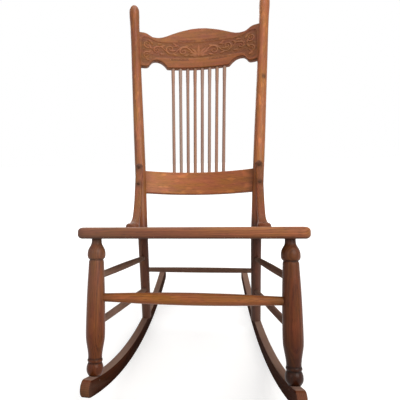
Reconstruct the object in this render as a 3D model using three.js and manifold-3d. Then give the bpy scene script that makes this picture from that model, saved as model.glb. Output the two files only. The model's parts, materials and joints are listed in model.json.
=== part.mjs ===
// Armless pressed-back oak rocker with a cane seat, in millimetres, +Z up.
// The body of the chair is laid out square to its own seat, then leans back on its rockers
// about the rocking axis, which is the centre of the rockers' arc.
// Body axes: X to the right for someone in front of the chair, Y to the back, Z square to the
// seat. Left and right in the names are as seen from the front too.
// Body origin: on the seat's top, midway between the axes of the two front legs.
import * as THREE from 'three';
import { mergeVertices } from 'three/addons/utils/BufferGeometryUtils.js';
import Module from 'manifold-3d';

const wasm = await Module();
wasm.setup();

// Fits and finish
const CLEARANCE = 0.3;
const OVERRUN = 6;
const WELD = 0.0005;
const ROUND_SIDES = 16;
const STICK_SIDES = 10;
const PIN_SIDES = 6;

// Rockers
const ROCKER_RADIUS = 1060;
const ROCKER_DEPTH = 33;
const ROCKER_THICKNESS = 20;
const ROCKER_EDGE_ROUND = 2.5;
const ROCKER_NOSE_LENGTH = 15;
const ROCKER_HEEL_LENGTH = 14;
const ROCKER_FRONT_REACH = 62;
const ROCKER_REAR_REACH = 295;
const ROCKER_OUTSET_AT_POST = 3.5;
const ROCKING_AXIS_BEHIND_LEGS = 124.4;
const ROCKING_AXIS_ABOVE_SEAT = 726;
const REST_TILT = THREE.MathUtils.degToRad(13.55);
const ROCKER_FACET = THREE.MathUtils.degToRad(1);

// Seat frame
const SEAT_FRONT_WIDTH = 458;
const SEAT_REAR_WIDTH = 412;
const SEAT_THICKNESS = 23;
const SEAT_EDGE_ROUND = 7;
const SEAT_FRONT_OVERHANG = 30;
const SEAT_REAR_LAP = 2;
const SEAT_FRONT_CORNER = 20;
const SEAT_REAR_CORNER = 12;
const FRONT_RAIL_WIDTH = 74;
const SIDE_RAIL_WIDTH = 74;
const REAR_RAIL_WIDTH = 60;
const REAR_RAIL_LENGTH = 223;
const OPENING_CORNER = 34;

// Cane and the spline that holds it in its groove
const CANE_LIP = 9;
const CANE_THICKNESS = 1.8;
const CANE_OPENINGS_ACROSS = 11;
const CANE_OPENINGS_DEEP = 10;
const CANE_BORDER = 5;
const SPLINE_WIDTH = 5;
const SPLINE_HEIGHT = 6;
const SPLINE_CROWN = 0.8;

// Front legs, turned
const LEG_INSET = 37.5;
const LEG_SWELL_RADIUS = 19.2;
const LEG_TENON_RADIUS = 8;
const LEG_TENON_LENGTH = 17;
const LEG_FOOT_TENON_RADIUS = 6;
const LEG_FOOT_TENON_LENGTH = 16;
// Each row: share of the height between seat and rocker, share of the swell radius
const LEG_PROFILE_SHARES = [
  [0, 0.53], [0.036, 0.56], [0.05, 0.64], [0.067, 0.78], [0.086, 0.89], [0.105, 0.945],
  [0.122, 0.95], [0.138, 0.906], [0.15, 0.82], [0.158, 0.735], [0.167, 0.79], [0.212, 0.818],
  [0.31, 0.885], [0.416, 0.938], [0.51, 0.97], [0.62, 0.995], [0.68, 1], [0.725, 0.984],
  [0.76, 0.925], [0.795, 0.838], [0.832, 0.755], [0.864, 0.72], [0.88, 0.725], [0.886, 0.775],
  [0.897, 0.775], [0.903, 0.725], [0.914, 0.79], [0.932, 0.852], [0.951, 0.875], [0.97, 0.84],
  [0.985, 0.76], [0.998, 0.62],
];

// Back posts, one bent piece each from rocker to finial
const LEG_TO_POST = 350;
const POST_INSET = 45.6;
const POST_RADIUS = 16;
const POST_HEIGHT = 759;
const POST_SPLAY = THREE.MathUtils.degToRad(3.95);
const POST_FOOT_SPREAD = 0.1;
const POST_FOOT_BEHIND_LEGS = 425;
const POST_BEND_LENGTH = 52;
const POST_BEND_BELOW_SEAT = 20;
const POST_FOOT_TENON_RADIUS = 4.8;
const POST_FOOT_TENON_LENGTH = 15;
const BACK_RAKE = THREE.MathUtils.degToRad(8.3);
// Each row: share of the length from foot to tip, share of the post radius
const POST_PROFILE_SHARES = [
  [0, 0.84], [0.1, 0.85], [0.2, 0.89], [0.245, 0.905], [0.3, 0.93], [0.38, 0.97], [0.46, 1],
  [0.54, 1], [0.66, 0.97], [0.77, 0.95], [0.87, 0.93], [0.915, 0.945], [0.943, 0.99],
  [0.965, 1.035], [0.975, 1.03], [0.983, 0.98], [0.99, 0.84], [0.995, 0.65], [0.9985, 0.37],
];

// Crest rail, sawn to a scroll outline and bent
const CREST_BELOW_TIP = 78.5;
const CREST_HEIGHT = 146;
const CREST_THICKNESS = 19;
const CREST_EDGE_ROUND = 4;
const CREST_BOW = 40;
const CREST_STATIONS = 38;
// Each row: share of the half length, share of the height
const CREST_TOP_SHARES = [
  [0, 1], [0.1, 0.992], [0.2, 0.965], [0.3, 0.928], [0.4, 0.876], [0.475, 0.83],
  [0.545, 0.786], [0.605, 0.756], [0.665, 0.742], [0.733, 0.746], [0.79, 0.783],
  [0.845, 0.828], [0.89, 0.84], [1, 0.835],
];
const CREST_FOOT_SHARES = [
  [0, 0], [0.3, 0], [0.455, 0], [0.48, 0.004], [0.5, 0.035], [0.535, 0.085], [0.59, 0.135],
  [0.645, 0.152], [0.69, 0.145], [0.728, 0.112], [0.752, 0.065], [0.775, 0.022], [0.81, 0.002],
  [0.86, -0.002], [1, 0.005],
];

// Lower back slat
const SLAT_BOTTOM = 113;
const SLAT_HEIGHT = 68;
const SLAT_THICKNESS = 14;
const SLAT_EDGE_ROUND = 3;
const SLAT_BOW = 33;
const SLAT_STATIONS = 12;

// Tongues that join the crest and the slat to the posts
const TONGUE_THICKNESS = 8;
const TONGUE_LENGTH = 12;
const TONGUE_SHOULDER = 16;
const TONGUE_STATIONS = 4;

// Spindles
const SPINDLE_COUNT = 8;
const SPINDLE_PITCH_AT_SLAT = 21;
const SPINDLE_PITCH_AT_CREST = 23.6;
const SPINDLE_RADIUS = 4.8;
const SPINDLE_HEAD_RADIUS = 5.7;
const SPINDLE_TENON_RADIUS = 3.4;
const SPINDLE_TENON_LENGTH = 12;

// Brace arms between the posts and the seat
const BRACE_OUTSET = 11.6;
const BRACE_HEIGHT = 196;
const BRACE_REACH = 88;
const BRACE_WIDTH = 21;
const BRACE_THICKNESS = 14;
const BRACE_FOOT_WIDTH = 38;
const BRACE_FOOT_LENGTH = 34;
const BRACE_FOOT_THICKNESS = 16;
const BRACE_EDGE_ROUND = 5;
const BRACE_STRAIGHT = 52;
const BRACE_STATIONS = 18;

// Stretchers: heights below the seat's top at the front legs and at the posts
const SIDE_STRETCHER_RADIUS = 8.2;
const SIDE_STRETCHER_END_RADIUS = 6.8;
const UPPER_DROP_FRONT = 100;
const UPPER_DROP_REAR = 79;
const LOWER_DROP_FRONT = 194.5;
const LOWER_DROP_REAR = 172;
const FRONT_STRETCHER_DROP = 140.5;
const FRONT_STRETCHER_RADIUS = 12.4;
const FRONT_STRETCHER_END_RADIUS = 8.2;
const REAR_STRETCHER_DROP = 113;
const REAR_STRETCHER_RADIUS = 7.6;
const REAR_STRETCHER_END_RADIUS = 6.6;
const STRETCHER_SETBACK = 2;

// Fasteners
const SCREW_SHANK_RADIUS = 2;
const SCREW_HEAD_RADIUS = 4.2;
const SCREW_HEAD_HEIGHT = 2.4;
const BRACE_SCREW_LENGTH = 34;
const BRACE_SCREW_BELOW_TOP = 14;
const BRACE_SCREW_PITCH = 50;
const FOOT_SCREW_LENGTH = 28;
const FOOT_SCREW_FROM_TOE = 14;
const SEAT_SCREW_LENGTH = 52;
const SEAT_SCREW_DROP = 6.5;
const ROCKER_PIN_RADIUS = 1.6;
const NAIL_RADIUS = 1.2;
const NAIL_LENGTH = 22;
const DOWEL_RADIUS = 4;
const DOWEL_LENGTH = 30;
const DOWEL_DROP = 14.5;
const DOWEL_EDGE_DISTANCE = 18;

// Shares of the pieces that carry them
const SOCKET_DEPTH_SHARE = 1.35;
const FULL_ROUND_SHARE = 0.488;
const CANE_OPENING_SHARE = 0.6;
const SWELL_FULLNESS_SHARE = 0.75;
const SPINDLE_PLAIN_SHARE = 0.72;
const SPINDLE_HEAD_SHARE = 0.95;
const BRACE_SWEEP_SHARE = 0.72;
const BRACE_HEEL_SHARE = 0.33;
const BRACE_THIN_END_SHARE = 0.45;
const BRACE_END_WIDTH_SHARE = 0.35;
const BRACE_STATION_EASE_SHARE = 0.4;
const SCREW_TIP_SHARE = 0.4;
const SCREW_DOME_SHARE = 0.62;
const SCREW_CROWN_SHARE = 0.45;
const POST_BEND_SHARES = [0.15, 0.35];
const POST_BEND_STEP_SHARE = 0.025;

// Finishes
const OAK = new THREE.MeshStandardMaterial({ color: 0x96592f, roughness: 0.42, metalness: 0 });
const OAK_DARK = new THREE.MeshStandardMaterial({ color: 0x6a3a20, roughness: 0.45, metalness: 0 });
const CANE = new THREE.MeshStandardMaterial({ color: 0xc79a5b, roughness: 0.5, metalness: 0 });
const STEEL = new THREE.MeshStandardMaterial({ color: 0x5a5148, roughness: 0.4, metalness: 1 });

// Places worked out from the sizes above
const UP = new THREE.Vector3(0, 0, 1);
const TO_BACK = new THREE.Vector3(0, 1, 0);
const legX = SEAT_FRONT_WIDTH / 2 - LEG_INSET;
const seatFront = -SEAT_FRONT_OVERHANG;
const seatRear = LEG_TO_POST + SEAT_REAR_LAP;
const backRoot = LEG_TO_POST + POST_BEND_BELOW_SEAT * Math.tan(BACK_RAKE);
const rockerTopRadius = ROCKER_RADIUS - ROCKER_DEPTH;
const rockingAxis = new THREE.Vector3(0, ROCKING_AXIS_BEHIND_LEGS, ROCKING_AXIS_ABOVE_SEAT);

// A point of the leaning back: u across, v up the back, w behind the plane of the post axes
function backPoint(u, v, w = 0) {
  return new THREE.Vector3(
    u,
    backRoot + v * Math.sin(BACK_RAKE) + w * Math.cos(BACK_RAKE),
    v * Math.cos(BACK_RAKE) - w * Math.sin(BACK_RAKE),
  );
}

const backNormal = new THREE.Vector3(0, Math.cos(BACK_RAKE), -Math.sin(BACK_RAKE));
const postHalf = (v) => SEAT_REAR_WIDTH / 2 - POST_INSET + v * Math.tan(POST_SPLAY);
const postFootX = postHalf(0) + POST_FOOT_SPREAD;

// Height of the rockers' top under a place of the body, measured square to the seat
function rockerTopAt(y) {
  const run = y - ROCKING_AXIS_BEHIND_LEGS;
  return ROCKING_AXIS_ABOVE_SEAT - Math.sqrt(rockerTopRadius ** 2 - run ** 2);
}

// Group for the tilted body; the rockers hang in the outer group, upright at rest
const chair = new THREE.Group();
const body = new THREE.Group();
body.rotation.x = -REST_TILT;
const tiltedAxis = rockingAxis.clone().applyEuler(body.rotation);
body.position.set(0, 0, ROCKER_RADIUS).sub(tiltedAxis);
chair.add(body);
chair.updateMatrixWorld(true);
const bodyFrame = body.matrixWorld.clone();
const floorFrame = new THREE.Matrix4();

// Solids: geometry to manifold and back
function manifoldOf(geometry) {
  const bare = new THREE.BufferGeometry();
  bare.setAttribute('position', geometry.getAttribute('position'));
  bare.setIndex(geometry.index);
  const merged = mergeVertices(bare, WELD);
  const corners = merged.index.array;
  const place = merged.getAttribute('position');
  const kept = [];
  let volume = 0;
  const [a, b, c] = [new THREE.Vector3(), new THREE.Vector3(), new THREE.Vector3()];
  for (let i = 0; i < corners.length; i += 3) {
    const [p, q, r] = [corners[i], corners[i + 1], corners[i + 2]];
    if (p === q || q === r || r === p) continue;
    kept.push(p, q, r);
    a.fromBufferAttribute(place, p);
    b.fromBufferAttribute(place, q);
    c.fromBufferAttribute(place, r);
    volume += a.dot(b.cross(c));
  }
  if (volume < 0) kept.reverse();
  return new wasm.Manifold(new wasm.Mesh({
    numProp: 3,
    vertProperties: new Float32Array(place.array),
    triVerts: new Uint32Array(kept),
  }));
}

function geometryOf(manifold) {
  const mesh = manifold.getMesh();
  const geometry = new THREE.BufferGeometry();
  geometry.setAttribute('position', new THREE.BufferAttribute(mesh.vertProperties, 3));
  geometry.setIndex(new THREE.BufferAttribute(mesh.triVerts, 1));
  geometry.computeVertexNormals();
  return geometry;
}

// Cuts, joins or trims a placed piece with shapes given in the body's or the floor's frame
function work(mesh, { minus = [], plus = [], within = null }, frame = bodyFrame) {
  mesh.updateWorldMatrix(true, false);
  const toLocal = mesh.matrixWorld.clone().invert().multiply(frame);
  const local = (geometry) => manifoldOf(geometry.clone().applyMatrix4(toLocal));
  let solid = manifoldOf(mesh.geometry);
  if (within) solid = solid.intersect(local(within));
  for (const shape of minus) solid = solid.subtract(local(shape));
  for (const shape of plus) solid = solid.add(local(shape));
  mesh.geometry = geometryOf(solid);
}

function addPiece(name, geometry, material, parent = body) {
  const mesh = new THREE.Mesh(geometry, material);
  mesh.name = name;
  parent.add(mesh);
  return mesh;
}

// Smooth curve through a table of shares
function readShares(table, share) {
  const last = table.length - 1;
  let i = 0;
  while (i < last - 1 && share > table[i + 1][0]) i += 1;
  const slope = (k) => {
    const before = table[Math.max(k - 1, 0)];
    const after = table[Math.min(k + 1, last)];
    return (after[1] - before[1]) / (after[0] - before[0]);
  };
  const [x0, y0] = table[i];
  const [x1, y1] = table[i + 1];
  const width = x1 - x0;
  const t = THREE.MathUtils.clamp((share - x0) / width, 0, 1);
  const rise = (2 * t ** 3 - 3 * t ** 2 + 1) * y0 + (3 * t ** 2 - 2 * t ** 3) * y1;
  const lean = (t ** 3 - 2 * t ** 2 + t) * slope(i) + (t ** 3 - t ** 2) * slope(i + 1);
  return rise + width * lean;
}

// Turned pieces: a profile of [radius, height] rows about local Y
function turned(rows, sides = ROUND_SIDES) {
  const profile = rows.map(([radius, height]) => new THREE.Vector2(radius, height));
  const first = profile[0].clone().setX(0);
  const last = profile[profile.length - 1].clone().setX(0);
  return new THREE.LatheGeometry([first, ...profile, last], sides);
}

// Stands a turned shape on a point, pointing along a direction
function alongMatrix(start, direction) {
  const turn = new THREE.Quaternion().setFromUnitVectors(TO_BACK, direction.clone().normalize());
  return new THREE.Matrix4().compose(start, turn, new THREE.Vector3(1, 1, 1));
}

function rodShape(start, direction, radius, length, sides = STICK_SIDES) {
  return turned([[radius, 0], [radius, length]], sides).applyMatrix4(alongMatrix(start, direction));
}

function placeAlong(mesh, start, direction) {
  alongMatrix(start, direction).decompose(mesh.position, mesh.quaternion, mesh.scale);
  return mesh;
}

// Lofted pieces: rings of points joined by quads, with flat ends
function loft(rings) {
  const count = rings[0].length;
  const points = rings.flat();
  const faces = [];
  for (let i = 0; i + 1 < rings.length; i += 1) {
    for (let j = 0; j < count; j += 1) {
      const next = (j + 1) % count;
      const [a, b] = [i * count + j, i * count + next];
      const [c, d] = [a + count, b + count];
      faces.push(a, b, d, a, d, c);
    }
  }
  const top = (rings.length - 1) * count;
  for (let j = 1; j + 1 < count; j += 1) {
    faces.push(0, j + 1, j);
    faces.push(top, top + j, top + j + 1);
  }
  const geometry = new THREE.BufferGeometry().setFromPoints(points);
  geometry.setIndex(faces);
  return geometry;
}

function roundedSection(width, height, radius, steps = 2) {
  const round = Math.min(radius, width * FULL_ROUND_SHARE, height * FULL_ROUND_SHARE);
  const points = [];
  for (let corner = 0; corner < 4; corner += 1) {
    const signX = corner === 0 || corner === 3 ? 1 : -1;
    const signY = corner < 2 ? 1 : -1;
    for (let step = 0; step < steps; step += 1) {
      const angle = (Math.PI / 2) * (corner + step / (steps - 1));
      points.push(new THREE.Vector2(
        signX * (width / 2 - round) + round * Math.cos(angle),
        signY * (height / 2 - round) + round * Math.sin(angle),
      ));
    }
  }
  return points;
}

// Rounded outline through corner points, each with its own radius
function roundedOutline(corners, radii) {
  const shape = new THREE.Shape();
  corners.forEach((corner, i) => {
    const before = corners[(i + corners.length - 1) % corners.length];
    const after = corners[(i + 1) % corners.length];
    const inward = before.clone().sub(corner).normalize();
    const outward = after.clone().sub(corner).normalize();
    const half = Math.acos(THREE.MathUtils.clamp(inward.dot(outward), -1, 1)) / 2;
    const reach = radii[i] / Math.tan(half);
    const start = corner.clone().addScaledVector(inward, reach);
    const end = corner.clone().addScaledVector(outward, reach);
    const middle = inward.clone().add(outward).normalize();
    const centre = corner.clone().addScaledVector(middle, radii[i] / Math.sin(half));
    if (i === 0) shape.moveTo(start.x, start.y);
    else shape.lineTo(start.x, start.y);
    const from = start.sub(centre).angle();
    const to = end.sub(centre).angle();
    shape.absarc(centre.x, centre.y, radii[i], from, to, inward.cross(outward) > 0);
  });
  shape.closePath();
  return shape;
}

// Rockers
function rockerX(y, side) {
  const legFoot = new THREE.Vector3(legX, 0, rockerTopAt(0)).applyMatrix4(bodyFrame);
  const postFoot = new THREE.Vector3(
    postFootX + ROCKER_OUTSET_AT_POST,
    POST_FOOT_BEHIND_LEGS,
    rockerTopAt(POST_FOOT_BEHIND_LEGS),
  ).applyMatrix4(bodyFrame);
  const slope = (postFoot.x - legFoot.x) / (postFoot.y - legFoot.y);
  return { at: side * (legFoot.x + slope * (y - legFoot.y)), slope: side * slope };
}

// Side view of a rocker: s along the floor from the rocking axis, height above the floor
function rockerOutline(grow = 0) {
  const outer = ROCKER_RADIUS;
  const inner = rockerTopRadius - grow;
  const legRun = new THREE.Vector3(0, 0, rockerTopAt(0)).applyMatrix4(bodyFrame).y;
  const postRun = new THREE.Vector3(0, POST_FOOT_BEHIND_LEGS, rockerTopAt(POST_FOOT_BEHIND_LEGS))
    .applyMatrix4(bodyFrame).y;
  const front = Math.asin((legRun - ROCKER_FRONT_REACH) / outer);
  const rear = Math.asin((postRun + ROCKER_REAR_REACH) / outer);
  const spot = (radius, angle) => new THREE.Vector2(
    radius * Math.sin(angle),
    ROCKER_RADIUS - radius * Math.cos(angle),
  );
  const middle = (outer + inner) / 2;
  const half = (outer - inner) / 2;
  const noseAngle = ROCKER_NOSE_LENGTH / middle;
  const heelAngle = ROCKER_HEEL_LENGTH / middle;
  const points = [];
  const firstFacet = Math.ceil((front + noseAngle) / ROCKER_FACET) - 0.5;
  for (let k = firstFacet; k * ROCKER_FACET < rear - heelAngle; k += 1) {
    if (k * ROCKER_FACET > front + noseAngle) points.push(spot(outer, k * ROCKER_FACET));
  }
  points.push(spot(outer, rear - heelAngle));
  const heelSteps = 5;
  for (let step = 1; step < heelSteps; step += 1) {
    const turn = (Math.PI * step) / heelSteps;
    const along = rear - heelAngle * (1 - Math.sin(turn));
    points.push(spot(middle + half * Math.cos(turn), along));
  }
  const topSteps = 16;
  for (let step = 0; step <= topSteps; step += 1) {
    const along = THREE.MathUtils.lerp(rear - heelAngle, front + noseAngle, step / topSteps);
    points.push(spot(inner, along));
  }
  const noseSteps = 6;
  for (let step = 1; step < noseSteps; step += 1) {
    const turn = (Math.PI * step) / noseSteps;
    const along = front + noseAngle * (1 - Math.sin(turn));
    points.push(spot(middle - half * Math.cos(turn), along));
  }
  points.push(spot(outer, front + noseAngle));
  return new THREE.Shape(points);
}

function rockerMatrix(side) {
  const { at, slope } = rockerX(0, side);
  const along = new THREE.Vector3(slope, 1, 0).normalize();
  const across = along.clone().cross(UP);
  const turn = new THREE.Matrix4().makeBasis(along, UP, across);
  return new THREE.Matrix4().makeTranslation(at, 0, 0).multiply(turn);
}

function rockerPlank(thickness, round) {
  const depth = thickness - 2 * round;
  const settings = {
    depth, bevelEnabled: round > 0, bevelSize: round, bevelThickness: round, bevelOffset: -round,
    bevelSegments: 1, steps: 1,
  };
  return new THREE.ExtrudeGeometry(rockerOutline(), settings).translate(0, 0, -depth / 2);
}

// A slab over the rocker's top, wide enough to trim a foot that stands on it
function rockerBed(side) {
  const width = 4 * POST_RADIUS;
  const slab = new THREE.ExtrudeGeometry(rockerOutline(CLEARANCE), {
    depth: width, bevelEnabled: false,
  });
  return slab.translate(0, 0, -width / 2).applyMatrix4(rockerMatrix(side));
}

function addRocker(name, side) {
  const mesh = addPiece(name, rockerPlank(ROCKER_THICKNESS, ROCKER_EDGE_ROUND), OAK_DARK, chair);
  rockerMatrix(side).decompose(mesh.position, mesh.quaternion, mesh.scale);
  return mesh;
}

// Front legs
const legTop = -SEAT_THICKNESS - CLEARANCE;
const legFootLevel = rockerTopAt(0);
const legAxis = (side) => new THREE.Vector3(side * legX, 0, 0);

function legShape() {
  const height = legTop - legFootLevel;
  const rows = [[LEG_TENON_RADIUS, LEG_TENON_LENGTH], [LEG_TENON_RADIUS, 0]];
  for (const [share, radius] of LEG_PROFILE_SHARES) {
    rows.push([radius * LEG_SWELL_RADIUS, -share * height]);
  }
  const sole = LEG_PROFILE_SHARES[LEG_PROFILE_SHARES.length - 1][1] * LEG_SWELL_RADIUS;
  rows.push([sole, -height - OVERRUN]);
  return turned(rows.reverse());
}

function addLeg(name, side) {
  const mesh = addPiece(name, legShape(), OAK);
  mesh.position.copy(legAxis(side)).setZ(legTop);
  mesh.rotation.x = Math.PI / 2;
  work(mesh, { minus: [rockerBed(side)] }, floorFrame);
  const tenonTop = legAxis(side).setZ(legFootLevel + OVERRUN);
  const tenon = rodShape(tenonTop, UP.clone().negate(), LEG_FOOT_TENON_RADIUS,
    LEG_FOOT_TENON_LENGTH + OVERRUN);
  work(mesh, { plus: [tenon] });
  return mesh;
}

// Back posts
function postPath(side) {
  const apex = backPoint(side * postHalf(-POST_BEND_BELOW_SEAT), -POST_BEND_BELOW_SEAT);
  const tip = backPoint(side * postHalf(POST_HEIGHT), POST_HEIGHT);
  const foot = new THREE.Vector3(
    side * postFootX,
    POST_FOOT_BEHIND_LEGS,
    rockerTopAt(POST_FOOT_BEHIND_LEGS),
  );
  const down = foot.clone().sub(apex).normalize();
  const upward = tip.clone().sub(apex).normalize();
  const sole = foot.clone().addScaledVector(down, OVERRUN);
  const bendStart = apex.clone().addScaledVector(down, POST_BEND_LENGTH);
  const bendEnd = apex.clone().addScaledVector(upward, POST_BEND_LENGTH);
  const path = new THREE.CurvePath();
  path.add(new THREE.LineCurve3(sole, bendStart));
  path.add(new THREE.QuadraticBezierCurve3(bendStart, apex, bendEnd));
  path.add(new THREE.LineCurve3(bendEnd, tip));
  return { path, foot, down, upward };
}

// Bends a turned shape along a path, its local Y running along the path's length
function bendAlong(geometry, path) {
  const length = path.getLength();
  const place = geometry.getAttribute('position');
  const across = new THREE.Vector3(1, 0, 0);
  for (let i = 0; i < place.count; i += 1) {
    const share = THREE.MathUtils.clamp(place.getY(i) / length, 0, 1);
    const centre = path.getPoint(share);
    const tangent = path.getTangent(THREE.MathUtils.clamp(share, 0.001, 0.999));
    const side = across.clone().addScaledVector(tangent, -across.dot(tangent)).normalize();
    const third = side.clone().cross(tangent);
    centre.addScaledVector(side, place.getX(i)).addScaledVector(third, place.getZ(i));
    place.setXYZ(i, centre.x, centre.y, centre.z);
  }
  return geometry;
}

function postShape(side, grow = 0) {
  const { path } = postPath(side);
  const length = path.getLength();
  const radiusAt = (share) => readShares(POST_PROFILE_SHARES, share) * POST_RADIUS + grow;
  const last = POST_PROFILE_SHARES[POST_PROFILE_SHARES.length - 1][0];
  const [bendFrom, bendTo] = POST_BEND_SHARES;
  const shares = new Set(POST_PROFILE_SHARES.map(([share]) => share));
  for (let share = bendFrom; share < bendTo; share += POST_BEND_STEP_SHARE) {
    shares.add(share);
  }
  const rows = [...shares].sort((p, q) => p - q).filter((share) => share <= last)
    .map((share) => [radiusAt(share), share * length]);
  return bendAlong(turned([...rows, [0, length + grow]]), path);
}

function addPost(name, side) {
  const { foot, down } = postPath(side);
  const mesh = addPiece(name, postShape(side), OAK);
  work(mesh, { minus: [rockerBed(side)] }, floorFrame);
  const tenonTop = foot.clone().addScaledVector(down, -OVERRUN);
  const tenon = rodShape(tenonTop, down, POST_FOOT_TENON_RADIUS, POST_FOOT_TENON_LENGTH + OVERRUN);
  work(mesh, { plus: [tenon] });
  return mesh;
}

// A point on a post's axis at a depth under the seat's top
function postAxisBelow(side, drop) {
  const { foot, down } = postPath(side);
  const climb = (foot.z + drop) / down.z;
  return foot.clone().addScaledVector(down, -climb);
}

// Seat frame
function seatShape(inset, frontInset, rearInset, radii) {
  const lean = (SEAT_FRONT_WIDTH - SEAT_REAR_WIDTH) / 2 / (seatRear - seatFront);
  const sideways = inset * Math.hypot(1, lean);
  const halfAt = (y) => SEAT_FRONT_WIDTH / 2 - lean * (y - seatFront) - sideways;
  const near = seatFront + frontInset;
  const far = seatRear - rearInset;
  return roundedOutline([
    new THREE.Vector2(-halfAt(near), near), new THREE.Vector2(halfAt(near), near),
    new THREE.Vector2(halfAt(far), far), new THREE.Vector2(-halfAt(far), far),
  ], radii);
}

function openingShape(outset) {
  const corner = OPENING_CORNER + outset;
  return seatShape(SIDE_RAIL_WIDTH - outset, FRONT_RAIL_WIDTH - outset, REAR_RAIL_WIDTH - outset,
    [corner, corner, corner, corner]);
}

function plate(shape, top, thickness, segments = 4) {
  const slab = new THREE.ExtrudeGeometry(shape, {
    depth: thickness, bevelEnabled: false, curveSegments: segments,
  });
  return slab.translate(0, 0, top - thickness);
}

function seatRing() {
  const outline = seatShape(0, 0, 0,
    [SEAT_FRONT_CORNER, SEAT_FRONT_CORNER, SEAT_REAR_CORNER, SEAT_REAR_CORNER]);
  const round = SEAT_EDGE_ROUND;
  const ring = new THREE.ExtrudeGeometry(outline, {
    depth: SEAT_THICKNESS - 2 * round, bevelEnabled: true, bevelSize: round, bevelThickness: round,
    bevelOffset: -round, bevelSegments: 3, curveSegments: 4,
  });
  return ring.translate(0, 0, round - SEAT_THICKNESS);
}

const grooveWidth = SPLINE_WIDTH + 2 * CLEARANCE;
const splineBed = SPLINE_HEIGHT + CLEARANCE;

// The groove for the spline and the lowered lip that the cane lies on
function caneCuts() {
  const groove = openingShape(CANE_LIP + grooveWidth);
  groove.holes.push(openingShape(CANE_LIP));
  return [
    plate(openingShape(0), OVERRUN, SEAT_THICKNESS + 2 * OVERRUN),
    plate(groove, OVERRUN, splineBed + OVERRUN),
    plate(openingShape(CANE_LIP + CLEARANCE), OVERRUN, CANE_THICKNESS + CLEARANCE + OVERRUN),
  ];
}

function boxBetween(low, high) {
  const size = high.clone().sub(low);
  const centre = low.clone().add(high).divideScalar(2);
  return new THREE.BoxGeometry(size.x, size.y, size.z).translate(centre.x, centre.y, centre.z);
}

// Where the rails meet: the front rail runs the full width, the rear one between the sides
const frontJoint = seatFront + FRONT_RAIL_WIDTH;
const rearJoint = REAR_RAIL_LENGTH / 2;
const seatMiddle = (seatFront + seatRear) / 2;

function railBox(name) {
  const wide = SEAT_FRONT_WIDTH;
  const deep = SEAT_THICKNESS + OVERRUN;
  const near = seatFront - OVERRUN;
  const far = seatRear + OVERRUN;
  const gap = CLEARANCE / 2;
  if (name === 'front') {
    return boxBetween(new THREE.Vector3(-wide, near, -deep),
      new THREE.Vector3(wide, frontJoint - gap, OVERRUN));
  }
  if (name === 'rear') {
    return boxBetween(new THREE.Vector3(-rearJoint + gap, seatMiddle, -deep),
      new THREE.Vector3(rearJoint - gap, far, OVERRUN));
  }
  const side = name === 'right' ? 1 : -1;
  const [inside, outside] = [side * (rearJoint + gap), side * wide].sort((p, q) => p - q);
  return boxBetween(new THREE.Vector3(inside, frontJoint + gap, -deep),
    new THREE.Vector3(outside, far, OVERRUN));
}

function addSeatRail(name, part) {
  const mesh = addPiece(name, seatRing(), OAK);
  const notches = part === 'left' ? [postShape(-1, CLEARANCE)] : [];
  if (part === 'right') notches.push(postShape(1, CLEARANCE));
  work(mesh, { within: railBox(part), minus: [...caneCuts(), ...notches] });
  return mesh;
}

// Cane and spline: the weave is shown by a grid of openings, each wholly inside the seat's opening
function isInside(outline, spot) {
  let inside = false;
  outline.forEach((a, i) => {
    const b = outline[(i + 1) % outline.length];
    const crosses = (a.y > spot.y) !== (b.y > spot.y);
    if (crosses && spot.x < a.x + ((b.x - a.x) * (spot.y - a.y)) / (b.y - a.y)) inside = !inside;
  });
  return inside;
}

function caneOpenings() {
  const bounds = openingShape(-CANE_BORDER).getPoints();
  const high = new THREE.Vector2(Math.max(...bounds.map((p) => p.x)),
    Math.max(...bounds.map((p) => p.y)));
  const low = new THREE.Vector2(-high.x, Math.min(...bounds.map((p) => p.y)));
  const counts = new THREE.Vector2(CANE_OPENINGS_ACROSS, CANE_OPENINGS_DEEP);
  const pitch = high.clone().sub(low).divide(counts);
  const half = pitch.clone().multiplyScalar(CANE_OPENING_SHARE / 2);
  const first = pitch.clone().divideScalar(2).add(low);
  const openings = [];
  for (let i = 0; i < CANE_OPENINGS_ACROSS; i += 1) {
    for (let j = 0; j < CANE_OPENINGS_DEEP; j += 1) {
      const centre = new THREE.Vector2(i, j).multiply(pitch).add(first);
      const corners = [[-1, -1], [1, -1], [1, 1], [-1, 1]]
        .map(([x, y]) => new THREE.Vector2(x, y).multiply(half).add(centre));
      if (corners.every((corner) => isInside(bounds, corner))) {
        openings.push(new THREE.Shape(corners));
      }
    }
  }
  return openings;
}

function addCane() {
  const mesh = addPiece('cane_panel', plate(openingShape(CANE_LIP), 0, CANE_THICKNESS), CANE);
  const cuts = caneOpenings().map((opening) => plate(opening, OVERRUN,
    CANE_THICKNESS + 2 * OVERRUN));
  work(mesh, { minus: cuts });
  return mesh;
}

function addSpline() {
  const outline = openingShape(CANE_LIP + CLEARANCE + SPLINE_WIDTH);
  outline.holes.push(openingShape(CANE_LIP + CLEARANCE));
  const top = SPLINE_CROWN;
  return addPiece('cane_spline', plate(outline, top, SPLINE_HEIGHT + SPLINE_CROWN), CANE);
}

// Bent rails of the back: a section that follows the bow from one post to the other
function bentRail({ from, to, half, bow, thickness, round, stations, foot, top, grow = 0 }) {
  const rings = [];
  for (let i = 0; i <= stations; i += 1) {
    const u = THREE.MathUtils.lerp(from, to, i / stations);
    const share = Math.abs(u) / half;
    const low = foot(share) - grow;
    const high = top(share) + grow;
    const w = bow * (1 - share ** 2);
    const slope = (-2 * bow * u) / half ** 2;
    const section = roundedSection(thickness + 2 * grow, high - low, round);
    rings.push(section.map((p) => {
      const lean = Math.hypot(1, slope);
      return backPoint(u - (p.x * slope) / lean, (low + high) / 2 + p.y, w + p.x / lean);
    }));
  }
  return loft(rings);
}

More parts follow.
